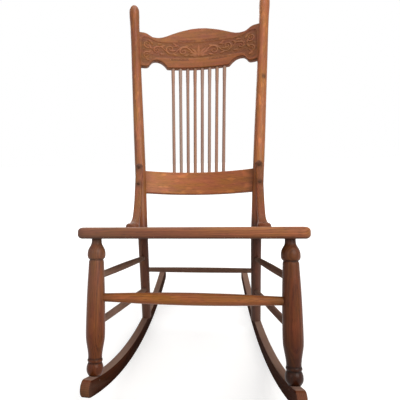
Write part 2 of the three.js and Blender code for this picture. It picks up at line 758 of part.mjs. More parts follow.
const crestBottom = POST_HEIGHT - CREST_BELOW_TIP - CREST_HEIGHT;
const crestMiddle = crestBottom + CREST_HEIGHT / 2;
const crest = {
  half: postHalf(crestMiddle),
  bow: CREST_BOW,
  thickness: CREST_THICKNESS,
  round: CREST_EDGE_ROUND,
  stations: CREST_STATIONS,
  foot: (share) => crestBottom + CREST_HEIGHT * readShares(CREST_FOOT_SHARES, share),
  top: (share) => crestBottom + CREST_HEIGHT * readShares(CREST_TOP_SHARES, share),
};
const slat = {
  half: postHalf(SLAT_BOTTOM + SLAT_HEIGHT / 2),
  bow: SLAT_BOW,
  thickness: SLAT_THICKNESS,
  round: SLAT_EDGE_ROUND,
  stations: SLAT_STATIONS,
  foot: () => SLAT_BOTTOM,
  top: () => SLAT_BOTTOM + SLAT_HEIGHT,
};

// The tongue at one end of a bent rail, or its mortise when it is grown
function tongue(rail, side, grow = 0) {
  const reach = rail.half - POST_RADIUS + TONGUE_LENGTH + grow;
  const root = rail.half - POST_RADIUS - TONGUE_LENGTH;
  const [from, to] = [side * root, side * reach].sort((p, q) => p - q);
  const foot = rail.foot(1) + TONGUE_SHOULDER;
  const top = rail.top(1) - TONGUE_SHOULDER;
  return bentRail({
    ...rail, from, to, grow, thickness: TONGUE_THICKNESS, round: grow, stations: TONGUE_STATIONS,
    foot: () => foot, top: () => top,
  });
}

function addBentRail(name, rail) {
  const mesh = addPiece(name, bentRail({ ...rail, from: -rail.half, to: rail.half }), OAK);
  work(mesh, { minus: [postShape(-1, CLEARANCE), postShape(1, CLEARANCE)] });
  work(mesh, { plus: [tongue(rail, -1), tongue(rail, 1)] });
  return mesh;
}

// Spindles stand between the slat and the crest and follow both bows
function spindleEnds(index) {
  const count = index - (SPINDLE_COUNT - 1) / 2;
  const low = count * SPINDLE_PITCH_AT_SLAT;
  const high = count * SPINDLE_PITCH_AT_CREST;
  const bowAt = (rail, u) => rail.bow * (1 - (u / rail.half) ** 2);
  return {
    start: backPoint(low, slat.top(0) - SPINDLE_TENON_LENGTH, bowAt(slat, low)),
    end: backPoint(high, crest.foot(0) + SPINDLE_TENON_LENGTH, bowAt(crest, high)),
  };
}

function addSpindle(index) {
  const { start, end } = spindleEnds(index);
  const direction = end.clone().sub(start);
  const length = direction.length();
  const tenon = SPINDLE_TENON_LENGTH;
  const shown = length - 2 * (tenon + CLEARANCE);
  const base = tenon + CLEARANCE;
  const rows = [
    [SPINDLE_TENON_RADIUS, 0], [SPINDLE_TENON_RADIUS, base], [SPINDLE_RADIUS, base],
    [SPINDLE_RADIUS, base + shown / 2], [SPINDLE_RADIUS, base + shown * SPINDLE_PLAIN_SHARE],
    [SPINDLE_HEAD_RADIUS, base + shown * SPINDLE_HEAD_SHARE], [SPINDLE_HEAD_RADIUS, base + shown],
    [SPINDLE_TENON_RADIUS, base + shown], [SPINDLE_TENON_RADIUS, length],
  ];
  const mesh = addPiece(`spindle_${index + 1}`, turned(rows, STICK_SIDES), OAK);
  placeAlong(mesh, start, direction);
  const hole = (point, sign) => rodShape(
    point.clone().addScaledVector(direction.clone().normalize(), -sign * CLEARANCE),
    direction.clone().multiplyScalar(sign), SPINDLE_TENON_RADIUS + CLEARANCE,
    tenon + OVERRUN + CLEARANCE,
  );
  return { inSlat: hole(start, 1), inCrest: hole(end, -1) };
}

// Brace arms: a bent stick down the post's front that sweeps out to a foot on the seat
const braceX = postHalf(0) + BRACE_OUTSET;

function bracePath() {
  const rest = POST_RADIUS + CLEARANCE + BRACE_THICKNESS / 2;
  const top = backPoint(0, BRACE_HEIGHT, -rest);
  const bend = backPoint(0, BRACE_HEIGHT - BRACE_STRAIGHT, -rest);
  const level = BRACE_FOOT_THICKNESS / 2;
  const toe = new THREE.Vector3(0, LEG_TO_POST - POST_RADIUS - BRACE_REACH, level);
  const heel = toe.clone().setY(toe.y + BRACE_FOOT_LENGTH / 2);
  const down = bend.clone().sub(top).normalize();
  const drop = bend.z - level;
  const path = new THREE.CurvePath();
  path.add(new THREE.LineCurve3(top, bend));
  path.add(new THREE.CubicBezierCurve3(bend, bend.clone().addScaledVector(down, drop * BRACE_SWEEP_SHARE),
    heel.clone().setY(heel.y + drop * BRACE_HEEL_SHARE), heel));
  path.add(new THREE.LineCurve3(heel, toe));
  return { path, toe };
}

function braceShape(side) {
  const { path } = bracePath();
  const length = path.getLength();
  const rings = [];
  const endRound = (distance, reach) => {
    const share = THREE.MathUtils.clamp(distance / reach, 0, 1);
    const least = BRACE_END_WIDTH_SHARE;
    return least + (1 - least) * Math.sqrt(1 - (1 - share) ** 2);
  };
  const across = new THREE.Vector3(1, 0, 0);
  for (let i = 0; i <= BRACE_STATIONS; i += 1) {
    const even = i / BRACE_STATIONS;
    const eased = (1 - Math.cos(Math.PI * even)) / 2;
    const share = THREE.MathUtils.lerp(even, eased, BRACE_STATION_EASE_SHARE);
    const distance = share * length;
    const footShare = THREE.MathUtils.smoothstep(distance, length - 2 * BRACE_FOOT_LENGTH, length);
    const topRound = endRound(distance, BRACE_WIDTH / 2);
    const toeRound = endRound(length - distance, BRACE_FOOT_WIDTH / 2);
    const width = THREE.MathUtils.lerp(BRACE_WIDTH, BRACE_FOOT_WIDTH, footShare);
    const thickness = THREE.MathUtils.lerp(BRACE_THICKNESS, BRACE_FOOT_THICKNESS, footShare);
    const round = Math.min(topRound, toeRound);
    const thinned = thickness * THREE.MathUtils.lerp(BRACE_THIN_END_SHARE, 1, round);
    const section = roundedSection(width * round, thinned, BRACE_EDGE_ROUND);
    const centre = path.getPoint(share);
    const tangent = path.getTangent(THREE.MathUtils.clamp(share, 0.001, 0.999));
    const normal = across.clone().cross(tangent).normalize();
    rings.push(section.map((p) => centre.clone().addScaledVector(across, p.x + side * braceX)
      .addScaledVector(normal, p.y)));
  }
  return loft(rings);
}

function addBrace(name, side) {
  const mesh = addPiece(name, braceShape(side), OAK);
  const wide = SEAT_FRONT_WIDTH;
  const seatTop = boxBetween(new THREE.Vector3(-wide, -wide, -SEAT_THICKNESS),
    new THREE.Vector3(wide, 2 * wide, CLEARANCE));
  work(mesh, { minus: [postShape(side, CLEARANCE), seatTop] });
  return mesh;
}

// Stretchers: turned sticks whose ends go into the legs and posts
function addStretcher(name, start, end, endRadius, middleRadius, material) {
  const direction = end.clone().sub(start).normalize();
  const from = start.clone().addScaledVector(direction, STRETCHER_SETBACK);
  const length = start.distanceTo(end) - 2 * STRETCHER_SETBACK;
  const socket = SOCKET_DEPTH_SHARE * LEG_SWELL_RADIUS;
  const rows = [[endRadius, 0], [endRadius, socket]];
  const steps = 8;
  for (let step = 1; step < steps; step += 1) {
    const share = step / steps;
    const swell = Math.sin(Math.PI * share) ** SWELL_FULLNESS_SHARE;
    const height = THREE.MathUtils.lerp(socket, length - socket, share);
    rows.push([THREE.MathUtils.lerp(endRadius, middleRadius, swell), height]);
  }
  rows.push([endRadius, length - socket], [endRadius, length]);
  const mesh = addPiece(name, turned(rows, STICK_SIDES), material);
  placeAlong(mesh, from, direction);
  const reach = socket + CLEARANCE;
  const hole = (point, aim) => rodShape(
    point.clone().addScaledVector(aim, STRETCHER_SETBACK - CLEARANCE), aim,
    endRadius + CLEARANCE, reach,
  );
  return [hole(start, direction), hole(end, direction.clone().negate())];
}

// Fasteners
function screwRows(length) {
  const head = SCREW_HEAD_HEIGHT;
  return [
    [SCREW_SHANK_RADIUS * SCREW_TIP_SHARE, 0], [SCREW_SHANK_RADIUS, 2 * SCREW_SHANK_RADIUS],
    [SCREW_SHANK_RADIUS, length - head], [SCREW_HEAD_RADIUS, length],
    [SCREW_HEAD_RADIUS * SCREW_DOME_SHARE, length + head * SCREW_CROWN_SHARE],
  ];
}

// A screw whose head lies in the surface at a point; aim runs from the head to the tip
function addScrew(name, head, aim, length, holders) {
  const back = aim.clone().negate();
  const tip = head.clone().addScaledVector(aim, length);
  placeAlong(addPiece(name, turned(screwRows(length), PIN_SIDES), STEEL), tip, back);
  const below = length + CLEARANCE;
  const rows = [
    [SCREW_SHANK_RADIUS + CLEARANCE, 0],
    [SCREW_SHANK_RADIUS + CLEARANCE, below - SCREW_HEAD_HEIGHT],
    [SCREW_HEAD_RADIUS + CLEARANCE, below], [SCREW_HEAD_RADIUS + CLEARANCE, below + OVERRUN],
  ];
  const bottom = tip.clone().addScaledVector(aim, CLEARANCE);
  const hole = turned(rows, PIN_SIDES).applyMatrix4(alongMatrix(bottom, back));
  for (const holder of holders) work(holder, { minus: [hole] });
}

// A plain pin, its two ends at the given points, in a drilled hole
function addPin(name, start, end, radius, material, holders, through) {
  const aim = end.clone().sub(start);
  const length = aim.length();
  aim.normalize();
  placeAlong(addPiece(name, turned([[radius, 0], [radius, length]], PIN_SIDES), material), start,
    aim);
  const lead = through ? OVERRUN : CLEARANCE;
  const hole = rodShape(start.clone().addScaledVector(aim, -lead), aim, radius + CLEARANCE,
    length + lead + CLEARANCE + (through === 'both' ? OVERRUN : 0), PIN_SIDES);
  for (const holder of holders) work(holder, { minus: [hole] });
}

// Assembly
const SIDES = { left: -1, right: 1 };
const rockers = {};
const legs = {};
const posts = {};
const sideRails = {};
const braces = {};

for (const [word, side] of Object.entries(SIDES)) {
  rockers[word] = addRocker(`rocker_${word}`, side);
  legs[word] = addLeg(`front_leg_${word}`, side);
  posts[word] = addPost(`back_post_${word}`, side);
}
const frontRail = addSeatRail('seat_front_rail', 'front');
const rearRail = addSeatRail('seat_rear_rail', 'rear');
for (const word of Object.keys(SIDES)) {
  sideRails[word] = addSeatRail(`seat_side_rail_${word}`, word);
}
addCane();
addSpline();
const crestRail = addBentRail('crest_rail', crest);
const backSlat = addBentRail('back_slat', slat);
for (let index = 0; index < SPINDLE_COUNT; index += 1) {
  const { inSlat, inCrest } = addSpindle(index);
  work(backSlat, { minus: [inSlat] });
  work(crestRail, { minus: [inCrest] });
}

// Sockets that the legs and posts take in the rockers and the seat
for (const [word, side] of Object.entries(SIDES)) {
  const legTenon = rodShape(legAxis(side).setZ(legTop - OVERRUN), UP,
    LEG_TENON_RADIUS + CLEARANCE, LEG_TENON_LENGTH + CLEARANCE + OVERRUN, ROUND_SIDES);
  work(frontRail, { minus: [legTenon] });
  const legFoot = rodShape(legAxis(side).setZ(legFootLevel + OVERRUN), UP.clone().negate(),
    LEG_FOOT_TENON_RADIUS + CLEARANCE, LEG_FOOT_TENON_LENGTH + CLEARANCE + OVERRUN);
  const { foot, down } = postPath(side);
  const postFoot = rodShape(foot.clone().addScaledVector(down, -OVERRUN), down,
    POST_FOOT_TENON_RADIUS + CLEARANCE, POST_FOOT_TENON_LENGTH + CLEARANCE + OVERRUN);
  work(rockers[word], { minus: [legFoot, postFoot] });
  work(posts[word], { minus: [tongue(crest, side, CLEARANCE), tongue(slat, side, CLEARANCE)] });
  braces[word] = addBrace(`brace_arm_${word}`, side);
}

// Stretchers between the legs and posts
const legBelow = (side, drop) => legAxis(side).setZ(-drop);
for (const [word, side] of Object.entries(SIDES)) {
  const levels = {
    upper: [UPPER_DROP_FRONT, UPPER_DROP_REAR],
    lower: [LOWER_DROP_FRONT, LOWER_DROP_REAR],
  };
  for (const [level, [front, rear]] of Object.entries(levels)) {
    const [inLeg, inPost] = addStretcher(`side_stretcher_${level}_${word}`, legBelow(side, front),
      postAxisBelow(side, rear), SIDE_STRETCHER_END_RADIUS, SIDE_STRETCHER_RADIUS, OAK_DARK);
    work(legs[word], { minus: [inLeg] });
    work(posts[word], { minus: [inPost] });
  }
}
const [frontLeft, frontRight] = addStretcher('front_stretcher', legBelow(-1, FRONT_STRETCHER_DROP),
  legBelow(1, FRONT_STRETCHER_DROP), FRONT_STRETCHER_END_RADIUS, FRONT_STRETCHER_RADIUS, OAK);
work(legs.left, { minus: [frontLeft] });
work(legs.right, { minus: [frontRight] });
const [rearLeft, rearRight] = addStretcher('rear_stretcher',
  postAxisBelow(-1, REAR_STRETCHER_DROP), postAxisBelow(1, REAR_STRETCHER_DROP),
  REAR_STRETCHER_END_RADIUS, REAR_STRETCHER_RADIUS, OAK_DARK);
work(posts.left, { minus: [rearLeft] });
work(posts.right, { minus: [rearRight] });

// Screws, pins, nails and dowels
for (const [word, side] of Object.entries(SIDES)) {
  const braceFace = -(POST_RADIUS + CLEARANCE + BRACE_THICKNESS);
  const screwTop = BRACE_HEIGHT - BRACE_SCREW_BELOW_TOP;
  const screwHeights = { upper: screwTop, middle: screwTop - BRACE_SCREW_PITCH };
  for (const [level, v] of Object.entries(screwHeights)) {
    addScrew(`brace_screw_${level}_${word}`, backPoint(side * braceX, v, braceFace), backNormal,
      BRACE_SCREW_LENGTH, [braces[word], posts[word]]);
  }
  const { toe } = bracePath();
  const footHead = new THREE.Vector3(side * braceX, toe.y + FOOT_SCREW_FROM_TOE,
    BRACE_FOOT_THICKNESS);
  addScrew(`brace_screw_lower_${word}`, footHead, UP.clone().negate(), FOOT_SCREW_LENGTH,
    [braces[word], sideRails[word]]);
  const postBack = postShape(side);
  const level = -SEAT_SCREW_DROP;
  const axis = backPoint(side * postHalf(level), level);
  const seatHead = axis.clone().setY(rearmostAt(postBack, axis));
  addScrew(`seat_screw_${word}`, seatHead, TO_BACK.clone().negate(), SEAT_SCREW_LENGTH,
    [posts[word], sideRails[word]]);

  const halfThickness = ROCKER_THICKNESS / 2;
  const pinAt = (name, point, holder) => {
    const spot = point.clone().applyMatrix4(bodyFrame);
    const { at, slope } = rockerX(spot.y, side);
    const along = new THREE.Vector3(slope, 1, 0).normalize();
    const across = along.clone().cross(UP);
    const centre = new THREE.Vector3(at, spot.y, spot.z);
    const toBody = bodyFrame.clone().invert();
    const start = centre.clone().addScaledVector(across, -halfThickness).applyMatrix4(toBody);
    const end = centre.clone().addScaledVector(across, halfThickness).applyMatrix4(toBody);
    addPin(name, start, end, ROCKER_PIN_RADIUS, STEEL, [rockers[word], holder], 'both');
  };
  pinAt(`rocker_pin_front_${word}`,
    legAxis(side).setZ(legFootLevel - LEG_FOOT_TENON_LENGTH / 2), legs[word]);
  const { foot, down } = postPath(side);
  pinAt(`rocker_pin_rear_${word}`,
    foot.clone().addScaledVector(down, POST_FOOT_TENON_LENGTH / 2), posts[word]);

  for (const [name, rail, holder, v] of [
    ['crest', crest, crestRail, crestMiddle],
    ['slat', slat, backSlat, SLAT_BOTTOM + SLAT_HEIGHT / 2],
  ]) {
    const u = side * (rail.half - POST_RADIUS + TONGUE_LENGTH / 2);
    const w = rail.bow * (1 - (u / rail.half) ** 2);
    const behind = Math.sqrt(POST_RADIUS ** 2 - (postHalf(v) - Math.abs(u)) ** 2) - CLEARANCE;
    const head = backPoint(u, v, behind - 2 * NAIL_RADIUS);
    const tip = backPoint(u, v, w - TONGUE_THICKNESS);
    addPin(`${name}_nail_${word}`, head, tip, NAIL_RADIUS, STEEL, [posts[word], holder], 'start');
  }

  const dowelHalf = DOWEL_LENGTH / 2;
  const innerFront = SEAT_FRONT_WIDTH / 2 - SIDE_RAIL_WIDTH;
  const outerFront = SEAT_FRONT_WIDTH / 2 - SEAT_EDGE_ROUND;
  const frontSpots = [innerFront + DOWEL_EDGE_DISTANCE, outerFront - DOWEL_EDGE_DISTANCE];
  frontSpots.forEach((x, i) => {
    const centre = new THREE.Vector3(side * x, frontJoint, -DOWEL_DROP);
    addPin(`front_dowel_${word}_${i + 1}`, centre.clone().setY(frontJoint - dowelHalf),
      centre.clone().setY(frontJoint + dowelHalf), DOWEL_RADIUS, OAK,
      [frontRail, sideRails[word]]);
  });
  const rearNear = seatRear - REAR_RAIL_WIDTH + DOWEL_EDGE_DISTANCE;
  [rearNear, rearNear + DOWEL_EDGE_DISTANCE].forEach((y, i) => {
    const centre = new THREE.Vector3(side * rearJoint, y, -DOWEL_DROP);
    addPin(`rear_dowel_${word}_${i + 1}`, centre.clone().setX(side * (rearJoint - dowelHalf)),
      centre.clone().setX(side * (rearJoint + dowelHalf)), DOWEL_RADIUS, OAK,
      [rearRail, sideRails[word]]);
  });
}

// The rearmost place of a shape on the line through a point, found on its points nearby
function rearmostAt(geometry, point) {
  const place = geometry.getAttribute('position');
  let best = point.y;
  for (let i = 0; i < place.count; i += 1) {
    const near = Math.hypot(place.getX(i) - point.x, place.getZ(i) - point.z) < POST_RADIUS;
    if (near) best = Math.max(best, place.getY(i));
  }
  return best - SCREW_HEAD_HEIGHT;
}

// Stand the chair with its footprint centred on the origin
const extent = new THREE.Box3().setFromObject(chair);
chair.position.set(0, -(extent.min.y + extent.max.y) / 2, -extent.min.z);
chair.updateMatrixWorld(true);

export default chair;
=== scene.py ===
import json
import math

import bmesh
import bpy
import numpy as np
from bpy.props import FloatProperty, FloatVectorProperty, IntProperty, PointerProperty
from mathutils import Matrix, Vector


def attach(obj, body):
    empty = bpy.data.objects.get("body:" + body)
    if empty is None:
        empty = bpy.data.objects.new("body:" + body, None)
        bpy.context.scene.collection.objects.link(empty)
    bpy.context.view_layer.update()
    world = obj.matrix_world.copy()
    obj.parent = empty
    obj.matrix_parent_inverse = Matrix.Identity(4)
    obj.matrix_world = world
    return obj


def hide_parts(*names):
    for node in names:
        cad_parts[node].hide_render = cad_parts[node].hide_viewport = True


bl_info = {
    "name": "Pressed-back rocker",
    "version": (1, 0, 0),
    "blender": (4, 5, 0),
    "location": "3D View > Sidebar > Rocker",
    "description": "Models an armless oak rocker with turned legs, bent posts and a cane seat",
    "category": "Add Mesh",
}

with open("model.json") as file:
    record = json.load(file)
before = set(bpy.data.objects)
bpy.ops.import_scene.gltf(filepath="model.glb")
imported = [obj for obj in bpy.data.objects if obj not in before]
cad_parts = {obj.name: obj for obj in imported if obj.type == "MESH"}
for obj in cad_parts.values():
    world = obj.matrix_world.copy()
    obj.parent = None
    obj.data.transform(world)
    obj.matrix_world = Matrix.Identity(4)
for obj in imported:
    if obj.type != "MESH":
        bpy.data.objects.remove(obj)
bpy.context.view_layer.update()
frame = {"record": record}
mounts = {mount["name"]: mount for mount in frame["record"]["mounts"]}

# The body of the chair is laid out square to its seat: X to the right, Y to the back, Z square
# to the seat, with the origin on the seat's top, midway between the front legs. It leans back
# about the rocking axis. The lean and the place come from the mount on the seat's front rail.
SEAT_MOUNT_Y = 0.007
ROCKER_RADIUS = 1.060
ROCKER_TOP_RADIUS = 1.027
ROCKING_AXIS_Y = 0.1244
ROCKING_AXIS_Z = 0.726
SIDES = (("left", -1), ("right", 1))

# The wood: the turn and the step up the log from each piece's place to the next one's
GOLDEN_ANGLE = 2.399963
LOG_STEP = 0.731
RINGS_A_METRE = 300.0
GOLDEN_TINT = (0.97, 1.08, 0.74, 1.0)
PINKISH_TINT = (1.03, 0.92, 1.24, 1.0)
DARK_TONE_RED = (1.0, 0.62, 0.50, 1.0)
SOIL_COLOUR = (0.028, 0.013, 0.009, 1.0)

# The seat: corner radii in front and behind, and the groove and lip for the cane
SEAT_CORNERS = (0.020, 0.014)
SEAT_BEHIND_POSTS = 0.002
GROOVE_DEPTH = 0.0055
LIP_DROP = 0.0021
# How much farther out than its foot a post's axis meets the rocker's middle plane
POST_PIN_OUTSET = 0.0035


def body_matrix():
    """The matrix from the body's own axes to the frame of the whole chair."""
    mount = mounts["seat_front_top"]
    lean = math.atan2(mount["axis"][1], mount["axis"][2])
    turn = Matrix.Rotation(-lean, 4, "X")
    back = Matrix.Translation((0, -SEAT_MOUNT_Y, 0))
    return Matrix.Translation(mount["pos_m"]) @ turn @ back


BODY = body_matrix()
rest_y = mounts["rocker_foot_left"]["pos_m"][1]

# Tables of shares. A turned piece has its length first, then its radius. The crest has the way
# from its middle to a post first, then its height.
LEG_PROFILE_SHARES = (
    (0.000, 0.530), (0.028, 0.545), (0.038, 0.570), (0.050, 0.645), (0.067, 0.785),
    (0.086, 0.895), (0.105, 0.945), (0.122, 0.950), (0.136, 0.920), (0.146, 0.860),
    (0.150, 0.790), (0.154, 0.735), (0.159, 0.728), (0.163, 0.760), (0.168, 0.790),
    (0.212, 0.818), (0.310, 0.885), (0.416, 0.938), (0.510, 0.970), (0.620, 0.995),
    (0.680, 1.000), (0.725, 0.984), (0.760, 0.925), (0.795, 0.838), (0.832, 0.755),
    (0.858, 0.722), (0.872, 0.718), (0.877, 0.735), (0.881, 0.772), (0.888, 0.785),
    (0.894, 0.772), (0.898, 0.728), (0.903, 0.715), (0.908, 0.730), (0.918, 0.800),
    (0.934, 0.858), (0.951, 0.876), (0.967, 0.850), (0.981, 0.775), (0.990, 0.690),
    (1.000, 0.600),
)
POST_PROFILE_SHARES = (
    (0.000, 0.840), (0.100, 0.850), (0.200, 0.890), (0.245, 0.905), (0.300, 0.930),
    (0.380, 0.970), (0.460, 1.000), (0.540, 1.000), (0.660, 0.970), (0.770, 0.950),
    (0.870, 0.930), (0.915, 0.945), (0.943, 0.990), (0.965, 1.035), (0.975, 1.030),
    (0.983, 0.980), (0.990, 0.840), (0.995, 0.650), (0.9985, 0.370), (1.000, 0.000),
)
CREST_TOP_SHARES = (
    (0.000, 1.000), (0.100, 0.992), (0.200, 0.965), (0.300, 0.928), (0.400, 0.876),
    (0.475, 0.830), (0.545, 0.786), (0.605, 0.756), (0.665, 0.742), (0.733, 0.746),
    (0.790, 0.783), (0.845, 0.828), (0.890, 0.840), (1.000, 0.835),
)
CREST_FOOT_SHARES = (
    (0.000, 0.000), (0.300, 0.000), (0.455, 0.000), (0.480, 0.004), (0.500, 0.035),
    (0.535, 0.085), (0.590, 0.135), (0.645, 0.152), (0.690, 0.145), (0.728, 0.112),
    (0.752, 0.065), (0.775, 0.022), (0.810, 0.002), (0.860, -0.002), (1.000, 0.005),
)


def length(name, default, description):
    return FloatProperty(name=name, default=default, description=description, min=0.0,
                         unit="LENGTH", subtype="DISTANCE", precision=4)


def angle(name, degrees, description):
    return FloatProperty(name=name, default=math.radians(degrees), description=description,
                         unit="ROTATION", subtype="ANGLE")


def colour(name, default, description):
    return FloatVectorProperty(name=name, default=default, description=description, size=4,
                               min=0.0, max=1.0, subtype="COLOR")


class ChairSizes(bpy.types.PropertyGroup):
    """Sizes of the rocker's pieces"""
    rocker_thickness: length("Rocker thickness", 0.020, "Width of a rocker's running face")
    rocker_round: length("Rocker edge", 0.0032, "Rounding of a rocker's long edges")
    rocker_front: length("Rocker nose reach", 0.062, "Reach of the rocker before the front leg")
    rocker_rear: length("Rocker tail reach", 0.2945, "Reach of the rocker behind the post")
    nose_length: length("Nose length", 0.015, "Length of the rounded nose of a rocker")
    heel_length: length("Heel length", 0.014, "Length of the rounded tail of a rocker")
    leg_half_spacing: length("Leg spacing", 0.1915, "From the centre line to a leg's axis")
    leg_radius: length("Leg radius", 0.0192, "Radius of a front leg at its swelling")
    post_half_spacing: length("Post spacing", 0.1604, "From the centre line to a post, at the seat")
    post_foot_half: length("Post foot", 0.1605, "From the centre line to a post's foot")
    post_foot_y: length("Post foot depth", 0.425, "From the front legs back to a post's foot")
    post_radius: length("Post radius", 0.016, "Largest radius of a back post's shaft")
    post_height: length("Post height", 0.7589, "Length of a back post above the seat")
    post_bend: length("Post bend", 0.052, "Length of each half of the post's bend")
    post_bend_drop: length("Bend depth", 0.020, "Depth of the bend under the seat's top")
    post_splay: angle("Post splay", 3.95, "Outward lean of each back post")
    back_rake: angle("Back rake", 8.3, "Backward lean of the back from square to the seat")
    leg_to_post: length("Seat depth", 0.350, "From the front legs back to the posts")
    seat_front_width: length("Seat width, front", 0.458, "Width of the seat at its front edge")
    seat_rear_width: length("Seat width, rear", 0.412, "Width of the seat at its rear edge")
    seat_thickness: length("Seat thickness", 0.023, "Thickness of the seat's rails")
    seat_overhang: length("Seat overhang", 0.030, "Reach of the seat before the front legs")
    seat_round: length("Seat edge", 0.0085, "Rounding of the seat's outer edge")
    front_rail: length("Front rail", 0.074, "Width of the seat's front rail")
    side_rail: length("Side rail", 0.074, "Width of the seat's side rails")
    rear_rail: length("Rear rail", 0.060, "Width of the seat's rear rail")
    rear_rail_length: length("Rear rail length", 0.223, "Length of the seat's rear rail")
    opening_corner: length("Opening corner", 0.034, "Corner radius of the caned opening")
    cane_lip: length("Cane lip", 0.009, "Width of the lip that the cane lies on")
    spline_width: length("Spline width", 0.005, "Width of the spline that holds the cane")
    cane_mesh: length("Cane mesh", 0.0127, "Pitch of the cane's square mesh")
    cane_strand: length("Cane strand", 0.0023, "Width of a strand of cane")
    crest_bottom: length("Crest height", 0.5345, "Height of the crest's lower edge up the back")
    crest_height: length("Crest depth", 0.146, "From the crest's lower edge to its top")
    crest_thickness: length("Crest thickness", 0.019, "Thickness of the crest rail")
    crest_bow: length("Crest bow", 0.040, "Backward bow of the crest rail at its middle")
    pressing_depth: length("Pressing depth", 0.0022, "Depth of the pressed ornament")
    slat_bottom: length("Slat height", 0.113, "Height of the slat's lower edge up the back")
    slat_height: length("Slat depth", 0.068, "From the slat's lower edge to its top")
    slat_thickness: length("Slat thickness", 0.014, "Thickness of the lower slat")
    slat_bow: length("Slat bow", 0.033, "Backward bow of the slat at its middle")
    spindles: IntProperty(name="Spindles", default=8, min=1, description="Number of spindles")
    spindle_radius: length("Spindle radius", 0.0048, "Radius of a spindle's lower part")
    spindle_head: length("Spindle head", 0.0057, "Radius of a spindle under the crest")
    pitch_slat: length("Pitch at the slat", 0.021, "Spacing of the spindles at the slat")
    pitch_crest: length("Pitch at the crest", 0.0236, "Spacing of the spindles at the crest")
    brace_outset: length("Brace spacing", 0.0116, "From a post's foot line out to its brace arm")
    brace_height: length("Brace height", 0.196, "Height of a brace arm's upper end up the back")
    brace_reach: length("Brace reach", 0.088, "Reach of a brace arm over the seat")
    brace_width: length("Brace width", 0.021, "Width of a brace arm")
    brace_thickness: length("Brace thickness", 0.014, "Thickness of a brace arm")
    brace_foot: length("Brace foot", 0.038, "Width of a brace arm's foot")
    brace_foot_thickness: length("Brace foot depth", 0.0185, "Thickness of a brace arm's foot")
    front_stretcher: length("Front stretcher", 0.0124, "Radius of the front stretcher's middle")
    side_stretcher: length("Side stretcher", 0.0082, "Radius of a side stretcher's middle")
    rear_stretcher: length("Rear stretcher", 0.0076, "Radius of the rear stretcher's middle")


class ChairColours(bpy.types.PropertyGroup):
    """Colours of the rocker's finishes"""
    oak: colour("Oak", (0.370, 0.128, 0.038, 1.0), "Shellacked oak in the light wood")
    oak_deep: colour("Oak, deep", (0.165, 0.046, 0.013, 1.0), "Shellacked oak in the dark rings")
    oak_pore: colour("Oak pores", (0.060, 0.021, 0.010, 1.0), "Dark open pores of the oak")
    # Dust also tints the painted highlights of the crest and the painted reflections on the rockers'
    # tops
    dust: colour("Dust", (0.300, 0.205, 0.165, 1.0), "Grey film of dust on the lower wood")
    cane: colour("Cane", (0.560, 0.360, 0.140, 1.0), "Aged cane")
    steel: colour("Steel", (0.045, 0.023, 0.013, 1.0), "Dark oxidised screws and nails")
    floor: colour("Floor", (0.52, 0.52, 0.52, 1.0), "Pale floor and backdrop")


def sizes():
    return bpy.context.scene.chair_sizes


def colours():
    return bpy.context.scene.chair_colours


# Curves through tables of points
def smooth_value(table, place):
    """The value of a table of (place, value) rows, on a curve that doesn't overshoot them."""
    last = len(table) - 1
    i = 0
    while i < last - 1 and place > table[i + 1][0]:
        i += 1
    gaps = [(b[0] - a[0], (b[1] - a[1]) / (b[0] - a[0])) for a, b in zip(table, table[1:])]

    def slope(k):
        if k in (0, last):
            return gaps[min(k, last - 1)][1]
        (h0, s0), (h1, s1) = gaps[k - 1], gaps[k]
        if s0 * s1 <= 0:
            return 0.0
        w0, w1 = 2 * h1 + h0, h1 + 2 * h0
        return (w0 + w1) / (w0 / s0 + w1 / s1)

    (x0, y0), (x1, y1) = table[i], table[i + 1]
    width = x1 - x0
    t = clamp01((place - x0) / width)
    rise = (2 * t**3 - 3 * t**2 + 1) * y0 + (3 * t**2 - 2 * t**3) * y1
    lean = (t**3 - 2 * t**2 + t) * slope(i) + (t**3 - t**2) * slope(i + 1)
    return rise + width * lean


def profile_points(table, length_m, radius, count):
    """(radius, height) points along a table of shares, denser where the table is."""
    places = sorted(set([row[0] for row in table] + [i / count for i in range(count + 1)]))
    extra = [(a + b) / 2 for a, b in zip(places, places[1:]) if b - a > 0.002]
    places = sorted(set(places + extra))
    return [(smooth_value(table, share) * radius, share * length_m) for share in places]


def lerp(a, b, t):
    return a + (b - a) * t


def clamp01(value):
    return min(max(value, 0.0), 1.0)


def bell(away, width):
    """1 in the middle, and nearly 0 from two widths away."""
    return math.exp(-(away / width) ** 2)


def fade_out(away, reach):
    """1 at the start, falling evenly to 0 at the reach."""
    return max(0.0, 1 - away / reach)


def quarter_round(steps, ends=True):
    """Pairs of 1 - cos and 1 - sin for the steps of a quarter turn."""
    turns = [math.pi / 2 * i / steps for i in (range(steps + 1) if ends else range(1, steps))]
    return [(1 - math.cos(turn), 1 - math.sin(turn)) for turn in turns]


def route_places(points):
    """How far along a line of points each of them lies."""
    places = [0.0]
    for a, b in zip(points, points[1:]):
        places.append(places[-1] + (b - a).length)
    return places


def route_spot(points, places, at):
    """The spot that far along a line of points, the way there, and the way farther about it."""
    i = 0
    while i < len(points) - 2 and places[i + 1] < at:
        i += 1
    part = (at - places[i]) / (places[i + 1] - places[i])
    about = points[min(i + 2, len(points) - 1)] - points[max(i - 1, 0)]
    return points[i].lerp(points[i + 1], part), points[i + 1] - points[i], about


